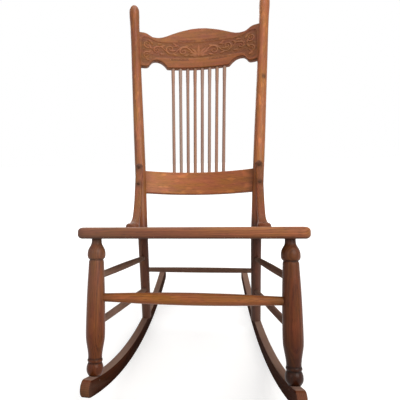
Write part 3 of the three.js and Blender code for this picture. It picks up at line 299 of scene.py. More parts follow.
# Meshes
def turned(points, sides):
    """A mesh turned about Z from (radius, height) points, closed at both ends."""
    bm = bmesh.new()
    rows = list(points)
    if rows[0][0] > 0:
        rows.insert(0, (0.0, rows[0][1]))
    if rows[-1][0] > 0:
        rows.append((0.0, rows[-1][1]))
    verts = [bm.verts.new((radius, 0.0, height)) for radius, height in rows]
    edges = [bm.edges.new(pair) for pair in zip(verts, verts[1:])]
    bmesh.ops.spin(bm, geom=verts + edges, cent=(0, 0, 0), axis=(0, 0, 1), angle=2 * math.pi,
                   steps=sides, use_merge=True, use_duplicate=False)
    bmesh.ops.remove_doubles(bm, verts=bm.verts[:], dist=1e-6)
    bmesh.ops.recalc_face_normals(bm, faces=bm.faces[:])
    return bm


def loft(rings, closed=False):
    """Joins rings of points by extruding the first one along the rest."""
    bm = bmesh.new()
    order = bm.verts.layers.int.new("order")
    count = len(rings[0])
    verts = [bm.verts.new(point) for point in rings[0]]
    for i, vert in enumerate(verts):
        vert[order] = i
    edges = [bm.edges.new((verts[i], verts[(i + 1) % count])) for i in range(count)]
    first = list(edges)
    for ring in rings[1:]:
        made = bmesh.ops.extrude_edge_only(bm, edges=edges)["geom"]
        fresh = {item for item in made if isinstance(item, bmesh.types.BMVert)}
        for vert in fresh:
            vert.co = ring[vert[order]]
        edges = [item for item in made if isinstance(item, bmesh.types.BMEdge)
                 and item.verts[0] in fresh and item.verts[1] in fresh]
    if closed:
        bmesh.ops.remove_doubles(bm, verts=bm.verts[:], dist=1e-6)
    else:
        bmesh.ops.edgeloop_fill(bm, edges=first)
        bmesh.ops.edgeloop_fill(bm, edges=edges)
    bmesh.ops.recalc_face_normals(bm, faces=bm.faces[:])
    return bm


def cut(bm, point, normal):
    """Cuts off what lies on the normal's side of a plane and closes the cut."""
    geom = bm.verts[:] + bm.edges[:] + bm.faces[:]
    made = bmesh.ops.bisect_plane(bm, geom=geom, plane_co=point, plane_no=normal,
                                  clear_outer=True)["geom_cut"]
    edges = [item for item in made if isinstance(item, bmesh.types.BMEdge)]
    if edges:
        bmesh.ops.contextual_create(bm, geom=edges)


def wood_offset(number):
    """Where a piece was sawn from the log: the pith is well to one side of it."""
    turn = number * GOLDEN_ANGLE
    out = 0.075 + 0.011 * (number % 4)
    return Vector((out * math.cos(turn), out * math.sin(turn), LOG_STEP * number))


def set_grain(bm, offset, place=None):
    """Keeps on each point its place in the wood, with Z along the grain."""
    layer = bm.verts.layers.float_vector.new("grain")
    for vert in bm.verts:
        vert[layer] = Vector(place(vert.co) if place else vert.co) + offset


def set_level(bm, name, level):
    """Keeps a number from 0 up on each point: the same one, or a function of its place."""
    layer = bm.verts.layers.float.new(name)
    for vert in bm.verts:
        vert[layer] = max(level(vert.co) if callable(level) else level, 0.0)


def set_wood(bm, number, dirt, dust=0.0, tone=1.0, place=None):
    """Gives a piece its wood, dark old polish, film of dust and tone: the shellac's shade, and on
    some pieces also painted shade and highlight.
    """
    set_grain(bm, wood_offset(number), place)
    set_level(bm, "dirt", lambda co: min(dirt(co), 1.0))
    set_level(bm, "dust", dust)
    set_level(bm, "tone", tone)


def link_object(name, data):
    made = bpy.data.objects.new(name, data)
    bpy.context.scene.collection.objects.link(made)
    return made


def add_piece(name, bm, look, nodes, matrix=BODY, sharp=38.0):
    """Makes the finished piece from a bmesh, places it, gives it its finish and hides the parts it
    stands for.
    """
    bm.transform(matrix)
    mesh = bpy.data.meshes.new(name)
    bm.to_mesh(mesh)
    bm.free()
    mesh.shade_smooth()
    mesh.set_sharp_from_angle(angle=math.radians(sharp))
    mesh.materials.append(finish(look))
    piece = link_object(name, mesh)
    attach(piece, "root")
    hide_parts(*nodes)


# Places on the chair
def back_point(u, v, w=0.0):
    """A point of the leaning back: u across, v up the back, w behind the posts' plane."""
    rake = sizes().back_rake
    root = sizes().leg_to_post + sizes().post_bend_drop * math.tan(rake)
    return Vector((u, root + v * math.sin(rake) + w * math.cos(rake),
                   v * math.cos(rake) - w * math.sin(rake)))


def post_half(v):
    return sizes().post_half_spacing + v * math.tan(sizes().post_splay)


def rocker_top(y):
    """Height of the rockers' top under a place of the body."""
    return ROCKING_AXIS_Z - math.sqrt(ROCKER_TOP_RADIUS**2 - (y - ROCKING_AXIS_Y)**2)


def rocker_top_normal(y):
    return Vector((0, ROCKING_AXIS_Y - y, ROCKING_AXIS_Z - rocker_top(y))).normalized()


def stand(bm, start, end):
    """Stands a shape made along Z on the way from one point to another."""
    aim = (end - start).normalized()
    turn = Vector((0, 0, 1)).rotation_difference(aim).to_matrix().to_4x4()
    bmesh.ops.transform(bm, matrix=Matrix.Translation(start) @ turn, verts=bm.verts[:])


# Materials
class Nodes:
    """Short ways to add nodes to the tree of a material or of the world."""

    def __init__(self, tree):
        self.tree = tree

    def feed(self, target, inputs):
        """Gives each input a plain value or the output of another node."""
        for key, value in inputs.items():
            if isinstance(value, bpy.types.NodeSocket):
                self.tree.links.new(value, target.inputs[key])
            else:
                target.inputs[key].default_value = value
        return target

    def add(self, kind, inputs, **values):
        made = self.tree.nodes.new("ShaderNode" + kind)
        for key, value in values.items():
            setattr(made, key, value)
        return self.feed(made, inputs)

    def maths(self, operation, *inputs, clamp=False):
        return self.add("Math", dict(enumerate(inputs)), operation=operation,
                        use_clamp=clamp).outputs[0]

    def vector(self, operation, inputs, output="Vector"):
        return self.add("VectorMath", inputs, operation=operation).outputs[output]

    def mix(self, factor, first, second, blend="MIX"):
        return self.add("Mix", {0: factor, 6: first, 7: second}, data_type="RGBA",
                        blend_type=blend).outputs[2]

    def attribute(self, name, output="Fac"):
        return self.add("Attribute", {}, attribute_name=name).outputs[output]

    def noise(self, place, stretch, detail, rough, scale=1.0, output="Fac"):
        """Noise that is finer along an axis the more its place is stretched there."""
        place = self.add("Mapping", {"Vector": place, "Scale": stretch}).outputs[0]
        return self.add("TexNoise", {"Vector": place, "Scale": scale, "Detail": detail,
                                     "Roughness": rough}).outputs[output]

    def ramp(self, value, stops):
        """Grey levels at some places of a value, with even slopes between them."""
        made = self.add("ValToRGB", {0: value})
        elements = made.color_ramp.elements
        while len(elements) < len(stops):
            elements.new(1.0)
        for element, (place, level) in zip(elements, stops):
            element.position = place
            element.color = (level, level, level, 1.0)
        return made.outputs[0]

    def bump(self, height, strength, distance):
        return self.add("Bump", {"Height": height, "Strength": strength,
                                 "Distance": distance}).outputs[0]

    def seen_directly(self):
        """1 for the camera and for what mirrors or lets through, 0 for the light itself."""
        path = self.add("LightPath", {}).outputs
        return self.maths("MAXIMUM", path["Is Camera Ray"], self.maths(
            "MAXIMUM", path["Is Glossy Ray"], path["Is Transmission Ray"]))


def new_material(name):
    material = bpy.data.materials.new(name)
    material.use_nodes = True
    tree = material.node_tree
    return material, Nodes(tree), tree.nodes["Principled BSDF"]


def shaded(colour, level):
    """A colour made lighter or darker."""
    return tuple(min(part * level, 1.0) for part in colour[:3]) + (1.0,)


def oak_material(name, shade, wear, gloss, rays, sheen, coat):
    """Shellacked oak: growth rings, open pores, rays, old varnish and handling wear, and the shade
    and highlights that the dirt, dust and tone levels paint on some pieces.
    """
    material, look, shader = new_material(name)
    maths = look.maths
    grain = look.attribute("grain", "Vector")
    dirt = look.attribute("dirt")
    dust = look.attribute("dust")
    tone = look.attribute("tone")

    # Rings about the pith, bent a little on their way up the log
    bend = look.noise(grain, (1.0, 1.0, 0.22), 3.0, 0.5, scale=7.0, output="Color")
    centred = look.vector("SUBTRACT", {0: bend, 1: (0.5, 0.5, 0.5)})
    shifted = look.vector("MULTIPLY_ADD", {0: centred, 1: (0.034, 0.034, 0.0), 2: grain})
    sides = look.add("SeparateXYZ", {0: shifted}).outputs
    across = maths("SQRT", maths("ADD", maths("MULTIPLY", sides[0], sides[0]),
                                 maths("MULTIPLY", sides[1], sides[1])))
    rings = maths("FRACT", maths("MULTIPLY", across, RINGS_A_METRE))
    band = look.ramp(rings, ((0.0, 0.95), (0.18, 1.0), (0.42, 0.35), (0.80, 0.0), (1.0, 0.9)))

    # Streaks and pores drawn out along the grain
    fibres = look.noise(grain, (900.0, 900.0, 14.0), 3.0, 0.6)
    streaks = look.noise(grain, (190.0, 190.0, 3.2), 4.0, 0.6)
    patches = look.noise(grain, (16.0, 16.0, 5.0), 3.0, 0.5)
    pores = look.ramp(look.noise(grain, (1500.0, 1500.0, 75.0), 1.0, 0.4),
                      ((0.0, 1.0), (0.36, 1.0), (0.44, 0.0), (1.0, 0.0)))
    open_pores = maths("MULTIPLY", pores, maths("MULTIPLY_ADD", band, 0.75, 0.2))
    flecks = look.ramp(look.noise(grain, (70.0, 420.0, 34.0), 1.0, 0.3),
                       ((0.0, 0.0), (0.57, 0.0), (0.68, 1.0), (1.0, 1.0)))

    light = shaded(colours().oak, shade)
    ringed = maths("MULTIPLY_ADD", band, 0.42, maths("MULTIPLY_ADD", streaks, 0.9, -0.27),
                   clamp=True)
    wood = look.mix(ringed, light, shaded(colours().oak_deep, shade))
    wood = look.mix(maths("MULTIPLY", flecks, rays), wood, shaded(light, 1.5))
    fine = look.ramp(fibres, ((0.0, 0.76), (0.5, 0.98), (1.0, 1.16)))
    wood = look.mix(0.75, wood, fine, "MULTIPLY")
    clouds = look.ramp(patches, ((0.25, 0.74), (0.5, 1.0), (0.75, 1.18)))
    wood = look.mix(0.85, wood, clouds, "MULTIPLY")
    # Golden and pinkish places, as old shellac has
    hues = look.ramp(look.noise(grain, (60.0, 60.0, 15.0), 2.0, 0.5), ((0.32, 0.0), (0.68, 1.0)))
    wood = look.mix(1.0, wood, look.mix(hues, GOLDEN_TINT, PINKISH_TINT), "MULTIPLY")
    wood = look.mix(maths("MULTIPLY", open_pores, 0.72), wood,
                    shaded(colours().oak_pore, shade))
    # Dirt darkens the wood; on the posts and the seat it also paints the shade under the seat
    soil = maths("MULTIPLY", dirt, maths("MULTIPLY_ADD", streaks, 0.8, 0.5), clamp=True)
    wood = look.mix(maths("MULTIPLY", soil, wear), wood, SOIL_COLOUR)
    toned = look.vector("SCALE", {0: wood, "Scale": tone})
    # Darker tone turns redder, in painted shade and in darker shellac alike
    darkness = maths("SUBTRACT", 1.0, tone, clamp=True)
    reddened = look.mix(darkness, toned, DARK_TONE_RED, "MULTIPLY")
    # The dust film greys the wood; on the crest and the rockers' tops it also paints highlights and
    # reflections
    film = maths("MULTIPLY", dust, maths("MULTIPLY_ADD", patches, 0.7, 0.25), clamp=True)
    rough = maths("ADD", gloss, maths("MULTIPLY_ADD", patches, 0.22,
                                      maths("MULTIPLY", soil, 0.3)))
    height = maths("SUBTRACT", maths("MULTIPLY", fibres, 0.35),
                   maths("MULTIPLY", open_pores, 0.8))
    look.feed(shader, {
        "Base Color": look.mix(film, reddened, tuple(colours().dust)),
        "Roughness": maths("MULTIPLY_ADD", film, 0.3, rough),
        "Specular IOR Level": sheen,
        "Coat Weight": coat,
        "Coat Roughness": 0.16,
        "Normal": look.bump(height, strength=0.35, distance=0.0004),
    })
    return material


def cane_material():
    """Glossy split cane with fine fibres along each strand."""
    material, look, shader = new_material("split_cane")
    grain = look.attribute("grain", "Vector")
    fibres = look.noise(grain, (2600.0, 2600.0, 60.0), 2.0, 0.5)
    patches = look.noise(grain, (40.0, 40.0, 25.0), 3.0, 0.5)
    base = colours().cane
    wood = look.mix(look.ramp(patches, ((0.3, 0.0), (0.7, 1.0))), shaded(base, 0.72),
                    shaded(base, 1.12))
    fine = look.ramp(fibres, ((0.2, 0.78), (0.8, 1.1)))
    look.feed(shader, {
        "Base Color": look.mix(0.8, wood, fine, "MULTIPLY"),
        "Roughness": look.maths("MULTIPLY_ADD", patches, 0.25, 0.40),
        "Specular IOR Level": 0.3,
        "Normal": look.bump(fibres, strength=0.25, distance=0.0002),
    })
    return material


def steel_material():
    """Dark, oxidised steel of old screws and nails."""
    material, look, shader = new_material("old_steel")
    place = look.add("TexCoord", {}).outputs["Object"]
    spots = look.noise(place, (1.0, 1.0, 1.0), 4.0, 0.6, scale=900.0)
    base = colours().steel
    rust = tuple(part * more for part, more in zip(base, (2.1, 1.7, 1.5))) + (1.0,)
    look.feed(shader, {
        "Base Color": look.mix(look.ramp(spots, ((0.35, 0.0), (0.65, 1.0))), tuple(base), rust),
        "Metallic": 0.25,
        "Specular IOR Level": 0.1,
        "Roughness": look.maths("MULTIPLY_ADD", spots, 0.35, 0.45),
        "Normal": look.bump(spots, strength=0.3, distance=0.0001),
    })
    return material


# Each oak's material: its name, shade, wear, roughness, rays, sheen and coat
OAKS = {
    "oak_show": ("golden_oak", 0.90, 0.85, 0.34, 0.16, 0.20, 0.0),
    "oak_turned": ("golden_oak_turned", 0.98, 0.90, 0.20, 0.20, 0.13, 0.03),
    "oak_back": ("golden_oak_back", 1.06, 0.75, 0.28, 0.42, 0.20, 0.05),
    # The wood under the seat: a matte, worn finish, and a darker copy of the oak that paints the
    # shade under the seat
    "oak_under": ("golden_oak_worn", 0.60, 0.85, 0.50, 0.10, 0.015, 0.0),
}
FINISHES = {}


def finish(name):
    """The material of that name, made the first time it is asked for."""
    if name not in FINISHES:
        if name in OAKS:
            FINISHES[name] = oak_material(*OAKS[name])
        else:
            FINISHES[name] = {"cane": cane_material, "steel": steel_material}[name]()
    return FINISHES[name]


# Rockers
def rocker_line(side):
    """X of a rocker's middle plane at the contact, and how much X changes along Y."""
    size = sizes()
    leg = BODY @ Vector((size.leg_half_spacing, 0, rocker_top(0)))
    post = BODY @ Vector((size.post_foot_half + POST_PIN_OUTSET, size.post_foot_y,
                          rocker_top(size.post_foot_y)))
    slope = (post.x - leg.x) / (post.y - leg.y)
    return side * (leg.x + slope * (rest_y - leg.y)), side * slope


def rocker_outline():
    """Side view of a rocker: run along the floor from the contact, then height."""
    size = sizes()
    leg = (BODY @ Vector((0, 0, rocker_top(0)))).y - rest_y
    post = (BODY @ Vector((0, size.post_foot_y, rocker_top(size.post_foot_y)))).y - rest_y
    front = math.asin((leg - size.rocker_front) / ROCKER_RADIUS)
    rear = math.asin((post + size.rocker_rear) / ROCKER_RADIUS)
    middle = (ROCKER_RADIUS + ROCKER_TOP_RADIUS) / 2
    half = (ROCKER_RADIUS - ROCKER_TOP_RADIUS) / 2
    nose, heel = size.nose_length / middle, size.heel_length / middle
    run_steps, end_steps = 110, 12

    def spot(radius, turn):
        return (radius * math.sin(turn), ROCKER_RADIUS - radius * math.cos(turn))

    def run(radius, start, end):
        return [spot(radius, lerp(start, end, i / run_steps)) for i in range(run_steps + 1)]

    def rounded_end(outer, tip, inward):
        turns = [math.pi * i / end_steps for i in range(1, end_steps)]
        return [spot(middle + outer * math.cos(turn), tip + inward * (1 - math.sin(turn)))
                for turn in turns]

    return (run(ROCKER_RADIUS, front + nose, rear - heel) + rounded_end(half, rear, -heel)
            + run(ROCKER_TOP_RADIUS, rear - heel, front + nose)
            + rounded_end(-half, front, nose))


class CHAIR_OT_rockers(bpy.types.Operator):
    """Saws the two rockers and rounds their edges"""
    bl_idname = "chair.rockers"
    bl_label = "Rockers"

    def execute(self, context):
        size = sizes()
        outline = rocker_outline()
        half = size.rocker_thickness / 2
        nose = min(y for y, _ in outline) + 0.012

        def from_axis(co):
            return math.hypot(co.y, ROCKER_RADIUS - co.z)

        def unrolled(co):
            turn = math.atan2(co.y, ROCKER_RADIUS - co.z)
            return co.x, from_axis(co) - ROCKER_TOP_RADIUS, turn * ROCKER_TOP_RADIUS

        def soil(co):
            return 0.35 + 0.5 * (from_axis(co) > ROCKER_RADIUS - 0.004)

        # A grey film on the tops and the nose: dust, and on the tops also a painted reflection of
        # grazing light
        def dusty(co):
            if co.y < nose:
                return 0.18
            return 1.0 if from_axis(co) < ROCKER_TOP_RADIUS + 0.0012 else 0.0

        for number, (word, side) in enumerate(SIDES):
            bm = bmesh.new()
            verts = [bm.verts.new((-half, y, z)) for y, z in outline]
            rim = [bm.edges.new(pair) for pair in zip(verts, verts[1:] + verts[:1])]
            face = bmesh.ops.edgeloop_fill(bm, edges=rim)["faces"][0]
            made = bmesh.ops.extrude_face_region(bm, geom=[face])["geom"]
            moved = [item for item in made if isinstance(item, bmesh.types.BMVert)]
            bmesh.ops.translate(bm, vec=(2 * half, 0, 0), verts=moved)
            edges = [edge for edge in bm.edges
                     if abs(edge.verts[0].co.x - edge.verts[1].co.x) < 1e-6]
            bmesh.ops.bevel(bm, geom=edges, offset=size.rocker_round, offset_type="OFFSET",
                            segments=4, profile=0.5, affect="EDGES", material=-1)
            bmesh.ops.recalc_face_normals(bm, faces=bm.faces[:])

            # Painted shade: the sides are darker than the top and running faces, the inner side much
            # darker, where shade falls under the chair
            def tone(co):
                if abs(co.x) < half - 0.0012:
                    return 0.85
                return 0.34 if co.x * side < 0 else 0.72

            set_wood(bm, 11 + number, soil, dusty, tone, unrolled)
            at, slope = rocker_line(side)
            turn = Matrix.Rotation(-math.atan(slope), 4, "Z")
            add_piece(f"rocker_{word}_oak", bm, "oak_under", [f"rocker_{word}"],
                      matrix=Matrix.Translation((at, rest_y, 0)) @ turn)
        return {"FINISHED"}


# Front legs
LEG_GROOVES = (0.155, 0.874, 0.903, 0.995)
# The left and the right leg: its tone, how much that falls towards its foot, and its dust
# The fall towards the foot is painted shade
LEG_LOOKS = ((0.60, 0.38, 0.30), (0.36, 0.72, 0.05))


def stand_on_rocker(bm, foot, depth=0.0004):
    """Cuts a foot off along the rocker's top, a hair below it."""
    normal = rocker_top_normal(foot.y)
    cut(bm, foot - normal * depth, -normal)


class CHAIR_OT_front_legs(bpy.types.Operator):
    """Turns the two front legs"""
    bl_idname = "chair.front_legs"
    bl_label = "Front legs"

    def execute(self, context):
        size = sizes()
        top = -size.seat_thickness + 0.0002
        level = rocker_top(0)
        run = top - level

        def soil(co):
            share = -co.z / run
            near = min(abs(share - groove) for groove in LEG_GROOVES)
            return 0.12 + 0.85 * bell(near, 0.0075) + 0.5 * fade_out(share, 0.05)

        for number, (word, side) in enumerate(SIDES):
            rows = profile_points(LEG_PROFILE_SHARES, run, size.leg_radius, count=90)
            rows.append((rows[-1][0], run + 0.01))
            bm = turned(rows, sides=56)
            bmesh.ops.rotate(bm, cent=(0, 0, 0), matrix=Matrix.Rotation(math.pi, 3, "X"),
                             verts=bm.verts[:])
            shade, foot_fade, film = LEG_LOOKS[number]

            # Painted shade: darker towards the foot, and a little darker at the top, under the seat
            def tone(co):
                share = -co.z / run
                low = clamp01((share - 0.62) / 0.3)
                return shade * (1.0 - foot_fade * low - 0.15 * fade_out(share, 0.15))

            set_wood(bm, 1 + number, soil, lambda co: film * fade_out(-co.z, 0.75 * run), tone)
            foot = Vector((side * size.leg_half_spacing, 0, level))
            bmesh.ops.translate(bm, vec=(foot.x, 0, top), verts=bm.verts[:])
            stand_on_rocker(bm, foot)
            add_piece(f"front_leg_{word}_oak", bm, "oak_turned",
                      [f"front_leg_{word}"], sharp=50)
        return {"FINISHED"}


# Back posts
# What is left on a post's foot until it is cut to the rocker
POST_SPARE = 0.006
# Shares of a post's length: where it passes the seat, its joints, and the middle of its painted
# highlight
POST_AT_SEAT = 0.295
POST_JOINTS = (0.40, 0.80, 0.90)
POST_HIGHLIGHT_SHARE = 0.58
# The left and the right post: its film of dust, and its tone below the seat, above and at the tip
# The tone below the seat is dark as painted shade under the seat
POST_LOOKS = ((0.20, 0.41, 0.90, 0.70), (0.06, 0.26, 0.97, 0.95))


def post_route(side):
    """A bent post's axis as points up from below its foot, its foot, and the way down there."""
    size = sizes()
    drop = -size.post_bend_drop
    apex = back_point(side * post_half(drop), drop)
    tip = back_point(side * post_half(size.post_height), size.post_height)
    foot = Vector((side * size.post_foot_half, size.post_foot_y, rocker_top(size.post_foot_y)))
    down = (foot - apex).normalized()
    upward = (tip - apex).normalized()
    start = foot + down * POST_SPARE
    bend_start = apex + down * size.post_bend
    bend_end = apex + upward * size.post_bend
    steps, upper_steps = 40, 80
    points = [start.lerp(bend_start, i / steps) for i in range(steps)]
    for i in range(steps + 1):
        t = i / steps
        points.append(bend_start * (1 - t)**2 + apex * 2 * t * (1 - t) + bend_end * t**2)
    points += [bend_end.lerp(tip, i / upper_steps) for i in range(1, upper_steps + 1)]
    return points, foot, down


def bend_along(bm, points):
    """Bends a shape made along Z so that its axis follows a line of points."""
    places = route_places(points)
    across = Vector((1, 0, 0))
    rows = {}
    for vert in bm.verts:
        rows.setdefault(round(vert.co.z, 7), []).append(vert)
    for height, verts in rows.items():
        centre, way, about = route_spot(points, places, min(max(height, 0.0), places[-1]))
        tangent = way.lerp(about, 0.5).normalized()
        side = (across - tangent * across.dot(tangent)).normalized()
        third = tangent.cross(side)
        for vert in verts:
            vert.co = centre + side * vert.co.x + third * vert.co.y


class CHAIR_OT_back_posts(bpy.types.Operator):
    """Turns the two back posts and bends them below the seat"""
    bl_idname = "chair.back_posts"
    bl_label = "Back posts"

    def execute(self, context):
        size = sizes()
        for number, (word, side) in enumerate(SIDES):
            points, foot, _ = post_route(side)
            run = route_places(points)[-1]
            rows = profile_points(POST_PROFILE_SHARES, run, size.post_radius, count=240)
            bm = turned(rows, sides=64)
            knot = Vector((0.0050, -0.0148, 0.716 * run))
            film, low_tone, middle_tone, tip_tone = POST_LOOKS[number]

            def soil(co):
                share = co.z / run
                joints = max(bell(share - at, 0.012) for at in POST_JOINTS)
                spot = bell((co - knot).length, 0.007) if side > 0 else 0.0
                inward = clamp01(-side * co.x / size.post_radius)
                # Darker towards the foot below the seat: painted shade; also dark joints on the
                # inner side, and a dark knot on the right post
                return (0.08 + 0.40 * fade_out(share, POST_AT_SEAT) + 0.35 * joints * inward
                        + 1.3 * spot)

            def dusty(co):
                share = co.z / run
                return film * bell(share - 0.55, 0.2) + 0.25 * fade_out(share, POST_AT_SEAT)

            # Painted shade: much darker below the seat than above it
            def tone(co):
                share = co.z / run
                above = clamp01((share - POST_AT_SEAT + 0.02) / 0.04)
                upper = lerp(middle_tone, tip_tone, clamp01((share - 0.70) / 0.3))
                # A painted highlight: a lighter strip down the front of the post, off its middle
                # towards the other post
                painted_highlight = bell(co.x / size.post_radius + 0.15 * side, 0.30) * (co.y < 0)
                painted_highlight *= bell(share - POST_HIGHLIGHT_SHARE, 0.16)
                return lerp(low_tone, upper, above) * (1 + 0.34 * painted_highlight)

            set_wood(bm, 3 + number, soil, dusty, tone)
            bend_along(bm, points)
            stand_on_rocker(bm, foot)
            add_piece(f"back_post_{word}_oak", bm, "oak_back",
                      [f"back_post_{word}"], sharp=60)
        return {"FINISHED"}


# Seat
def seat_loop(inset, height, corners, front=None, rear=None, steps=8):
    """A rounded loop around the seat, inset from its edge, always of as many points."""
    size = sizes()
    near = -size.seat_overhang
    far = size.leg_to_post + SEAT_BEHIND_POSTS
    lean = (size.seat_front_width - size.seat_rear_width) / 2 / (far - near)
    sideways = inset * math.hypot(1, lean)

    def half(y):
        return size.seat_front_width / 2 - lean * (y - near) - sideways

    low = near + (inset if front is None else front)
    high = far - (inset if rear is None else rear)
    spots = [Vector((-half(low), low)), Vector((half(low), low)),
             Vector((half(high), high)), Vector((-half(high), high))]
    loop = []
    for i, spot in enumerate(spots):
        before = (spots[i - 1] - spot).normalized()
        after = (spots[(i + 1) % 4] - spot).normalized()
        half_turn = math.acos(before.dot(after)) / 2
        radius = corners[0] if i < 2 else corners[1]
        centre = spot + (before + after).normalized() * radius / math.sin(half_turn)
        start = spot + before * radius / math.tan(half_turn) - centre
        end = spot + after * radius / math.tan(half_turn) - centre
        turn = start.angle_signed(end)
        for k in range(steps + 1):
            arm = start.copy()
            arm.rotate(Matrix.Rotation(-turn * k / steps, 2))
            loop.append(Vector((centre.x + arm.x, centre.y + arm.y, height)))
    return loop


def opening_loop(outset, height, steps=8):
    """A loop round the caned opening, that far outside its edge."""
    size = sizes()
    corner = size.opening_corner + outset
    return seat_loop(size.side_rail - outset, height, (corner, corner),
                     front=size.front_rail - outset, rear=size.rear_rail - outset, steps=steps)


def seat_rings():
    """Loops that go once round the section of the seat frame, from the outside in."""
    size = sizes()
    edge = size.seat_round
    deep = -size.seat_thickness
    quarter = quarter_round(7)
    section = [(edge * b, deep + edge * a) for a, b in quarter]
    section += [(edge * a, -edge * b) for a, b in quarter]
    rings = []
    for inset, height in section:
        corners = [corner - inset * 0.6 for corner in SEAT_CORNERS]
        rings.append(seat_loop(inset, height, corners))
    lip = size.cane_lip
    groove = lip + size.spline_width + 0.0006
    for outset, height in ((groove + 0.0006, 0.0), (groove, -0.0006), (groove, -GROOVE_DEPTH),
                           (lip, -GROOVE_DEPTH), (lip, -LIP_DROP), (0.0022, -LIP_DROP),
                           (0.0008, -0.0027), (0.0, -0.0042), (0.0, deep + 0.0015),
                           (0.0015, deep)):
        rings.append(opening_loop(outset, height))
    return rings


class CHAIR_OT_seat_frame(bpy.types.Operator):
    """Makes the four rails of the seat frame"""
    bl_idname = "chair.seat_frame"
    bl_label = "Seat frame"

    def execute(self, context):
        size = sizes()
        joint_y = size.front_rail - size.seat_overhang
        joint_x = size.rear_rail_length / 2
        middle = size.leg_to_post / 2
        edge_y = -size.seat_overhang + 0.012
        gap = 0.00012
        back, ahead, right, left = (0, 1, 0), (0, -1, 0), (1, 0, 0), (-1, 0, 0)
        # Each rail: the axes of its wood, the last one along the grain, and its cuts
        rails = {
            "seat_front_rail": ("yzx", [((0, joint_y - gap, 0), back)]),
            "seat_rear_rail": ("yzx", [((0, middle, 0), ahead), ((joint_x - gap, 0, 0), right),
                                       ((-joint_x + gap, 0, 0), left)]),
            "seat_side_rail_left": ("zxy", [((0, joint_y + gap, 0), ahead),
                                            ((-joint_x - gap, 0, 0), right)]),
            "seat_side_rail_right": ("zxy", [((0, joint_y + gap, 0), ahead),
                                             ((joint_x + gap, 0, 0), left)]),
        }

        # Painted shade: darker on the underside and along the lower edge of the rails; a little dark
        # old polish elsewhere
        def soil(co):
            return (0.08 + 0.75 * (co.z < -size.seat_thickness + 0.002)
                    + 0.55 * fade_out(abs(co.z + size.seat_thickness), 0.010))

        def dusty(co):
            return 0.28 * clamp01((0.05 - co.x) / 0.25) if co.y < edge_y else 0.0

        # Painted fall-off of the light from the right: the front edge darker towards the left
        def tone(co):
            return lerp(1.08, 0.54, clamp01((0.16 - co.x) / 0.26)) if co.y < edge_y else 0.95

        for number, (name, (axes, planes)) in enumerate(rails.items()):
            rings = seat_rings()
            bm = loft(rings + [rings[0]], closed=True)
            for point, normal in planes:
                cut(bm, Vector(point), Vector(normal))
            bmesh.ops.triangulate(bm, faces=[f for f in bm.faces if len(f.verts) > 4])
            bmesh.ops.recalc_face_normals(bm, faces=bm.faces[:])
            set_wood(bm, 5 + number, soil, dusty, tone, lambda co: getattr(co, axes))
            word = name.rsplit("_", 1)[-1]
            nodes = [name]
            if word in ("left", "right"):
                nodes += [f"{end}_dowel_{word}_{k}" for end in ("front", "rear") for k in (1, 2)]
            add_piece(f"{name}_oak", bm, "oak_show", nodes, sharp=35)
        return {"FINISHED"}


# The cane: half the spacing of a pair of strands and the width of a slanting one, both in
# strand widths, then its thickness, its depth under the seat's top and the rise of its waves
PAIR_SPACING = 0.72
SLANTING_WIDTH = 0.9
CANE_THICKNESS = 0.0005
CANE_DEPTH = 0.0006
CANE_RISE = 0.00022
# Its four layers of strands: level, swing in rises, and the axis along which the waves run
CANE_LAYERS = ((-0.00055, 1.0, 1), (-0.00010, -1.0, 0), (0.00015, 1.7, 0), (0.00025, -1.7, 0))


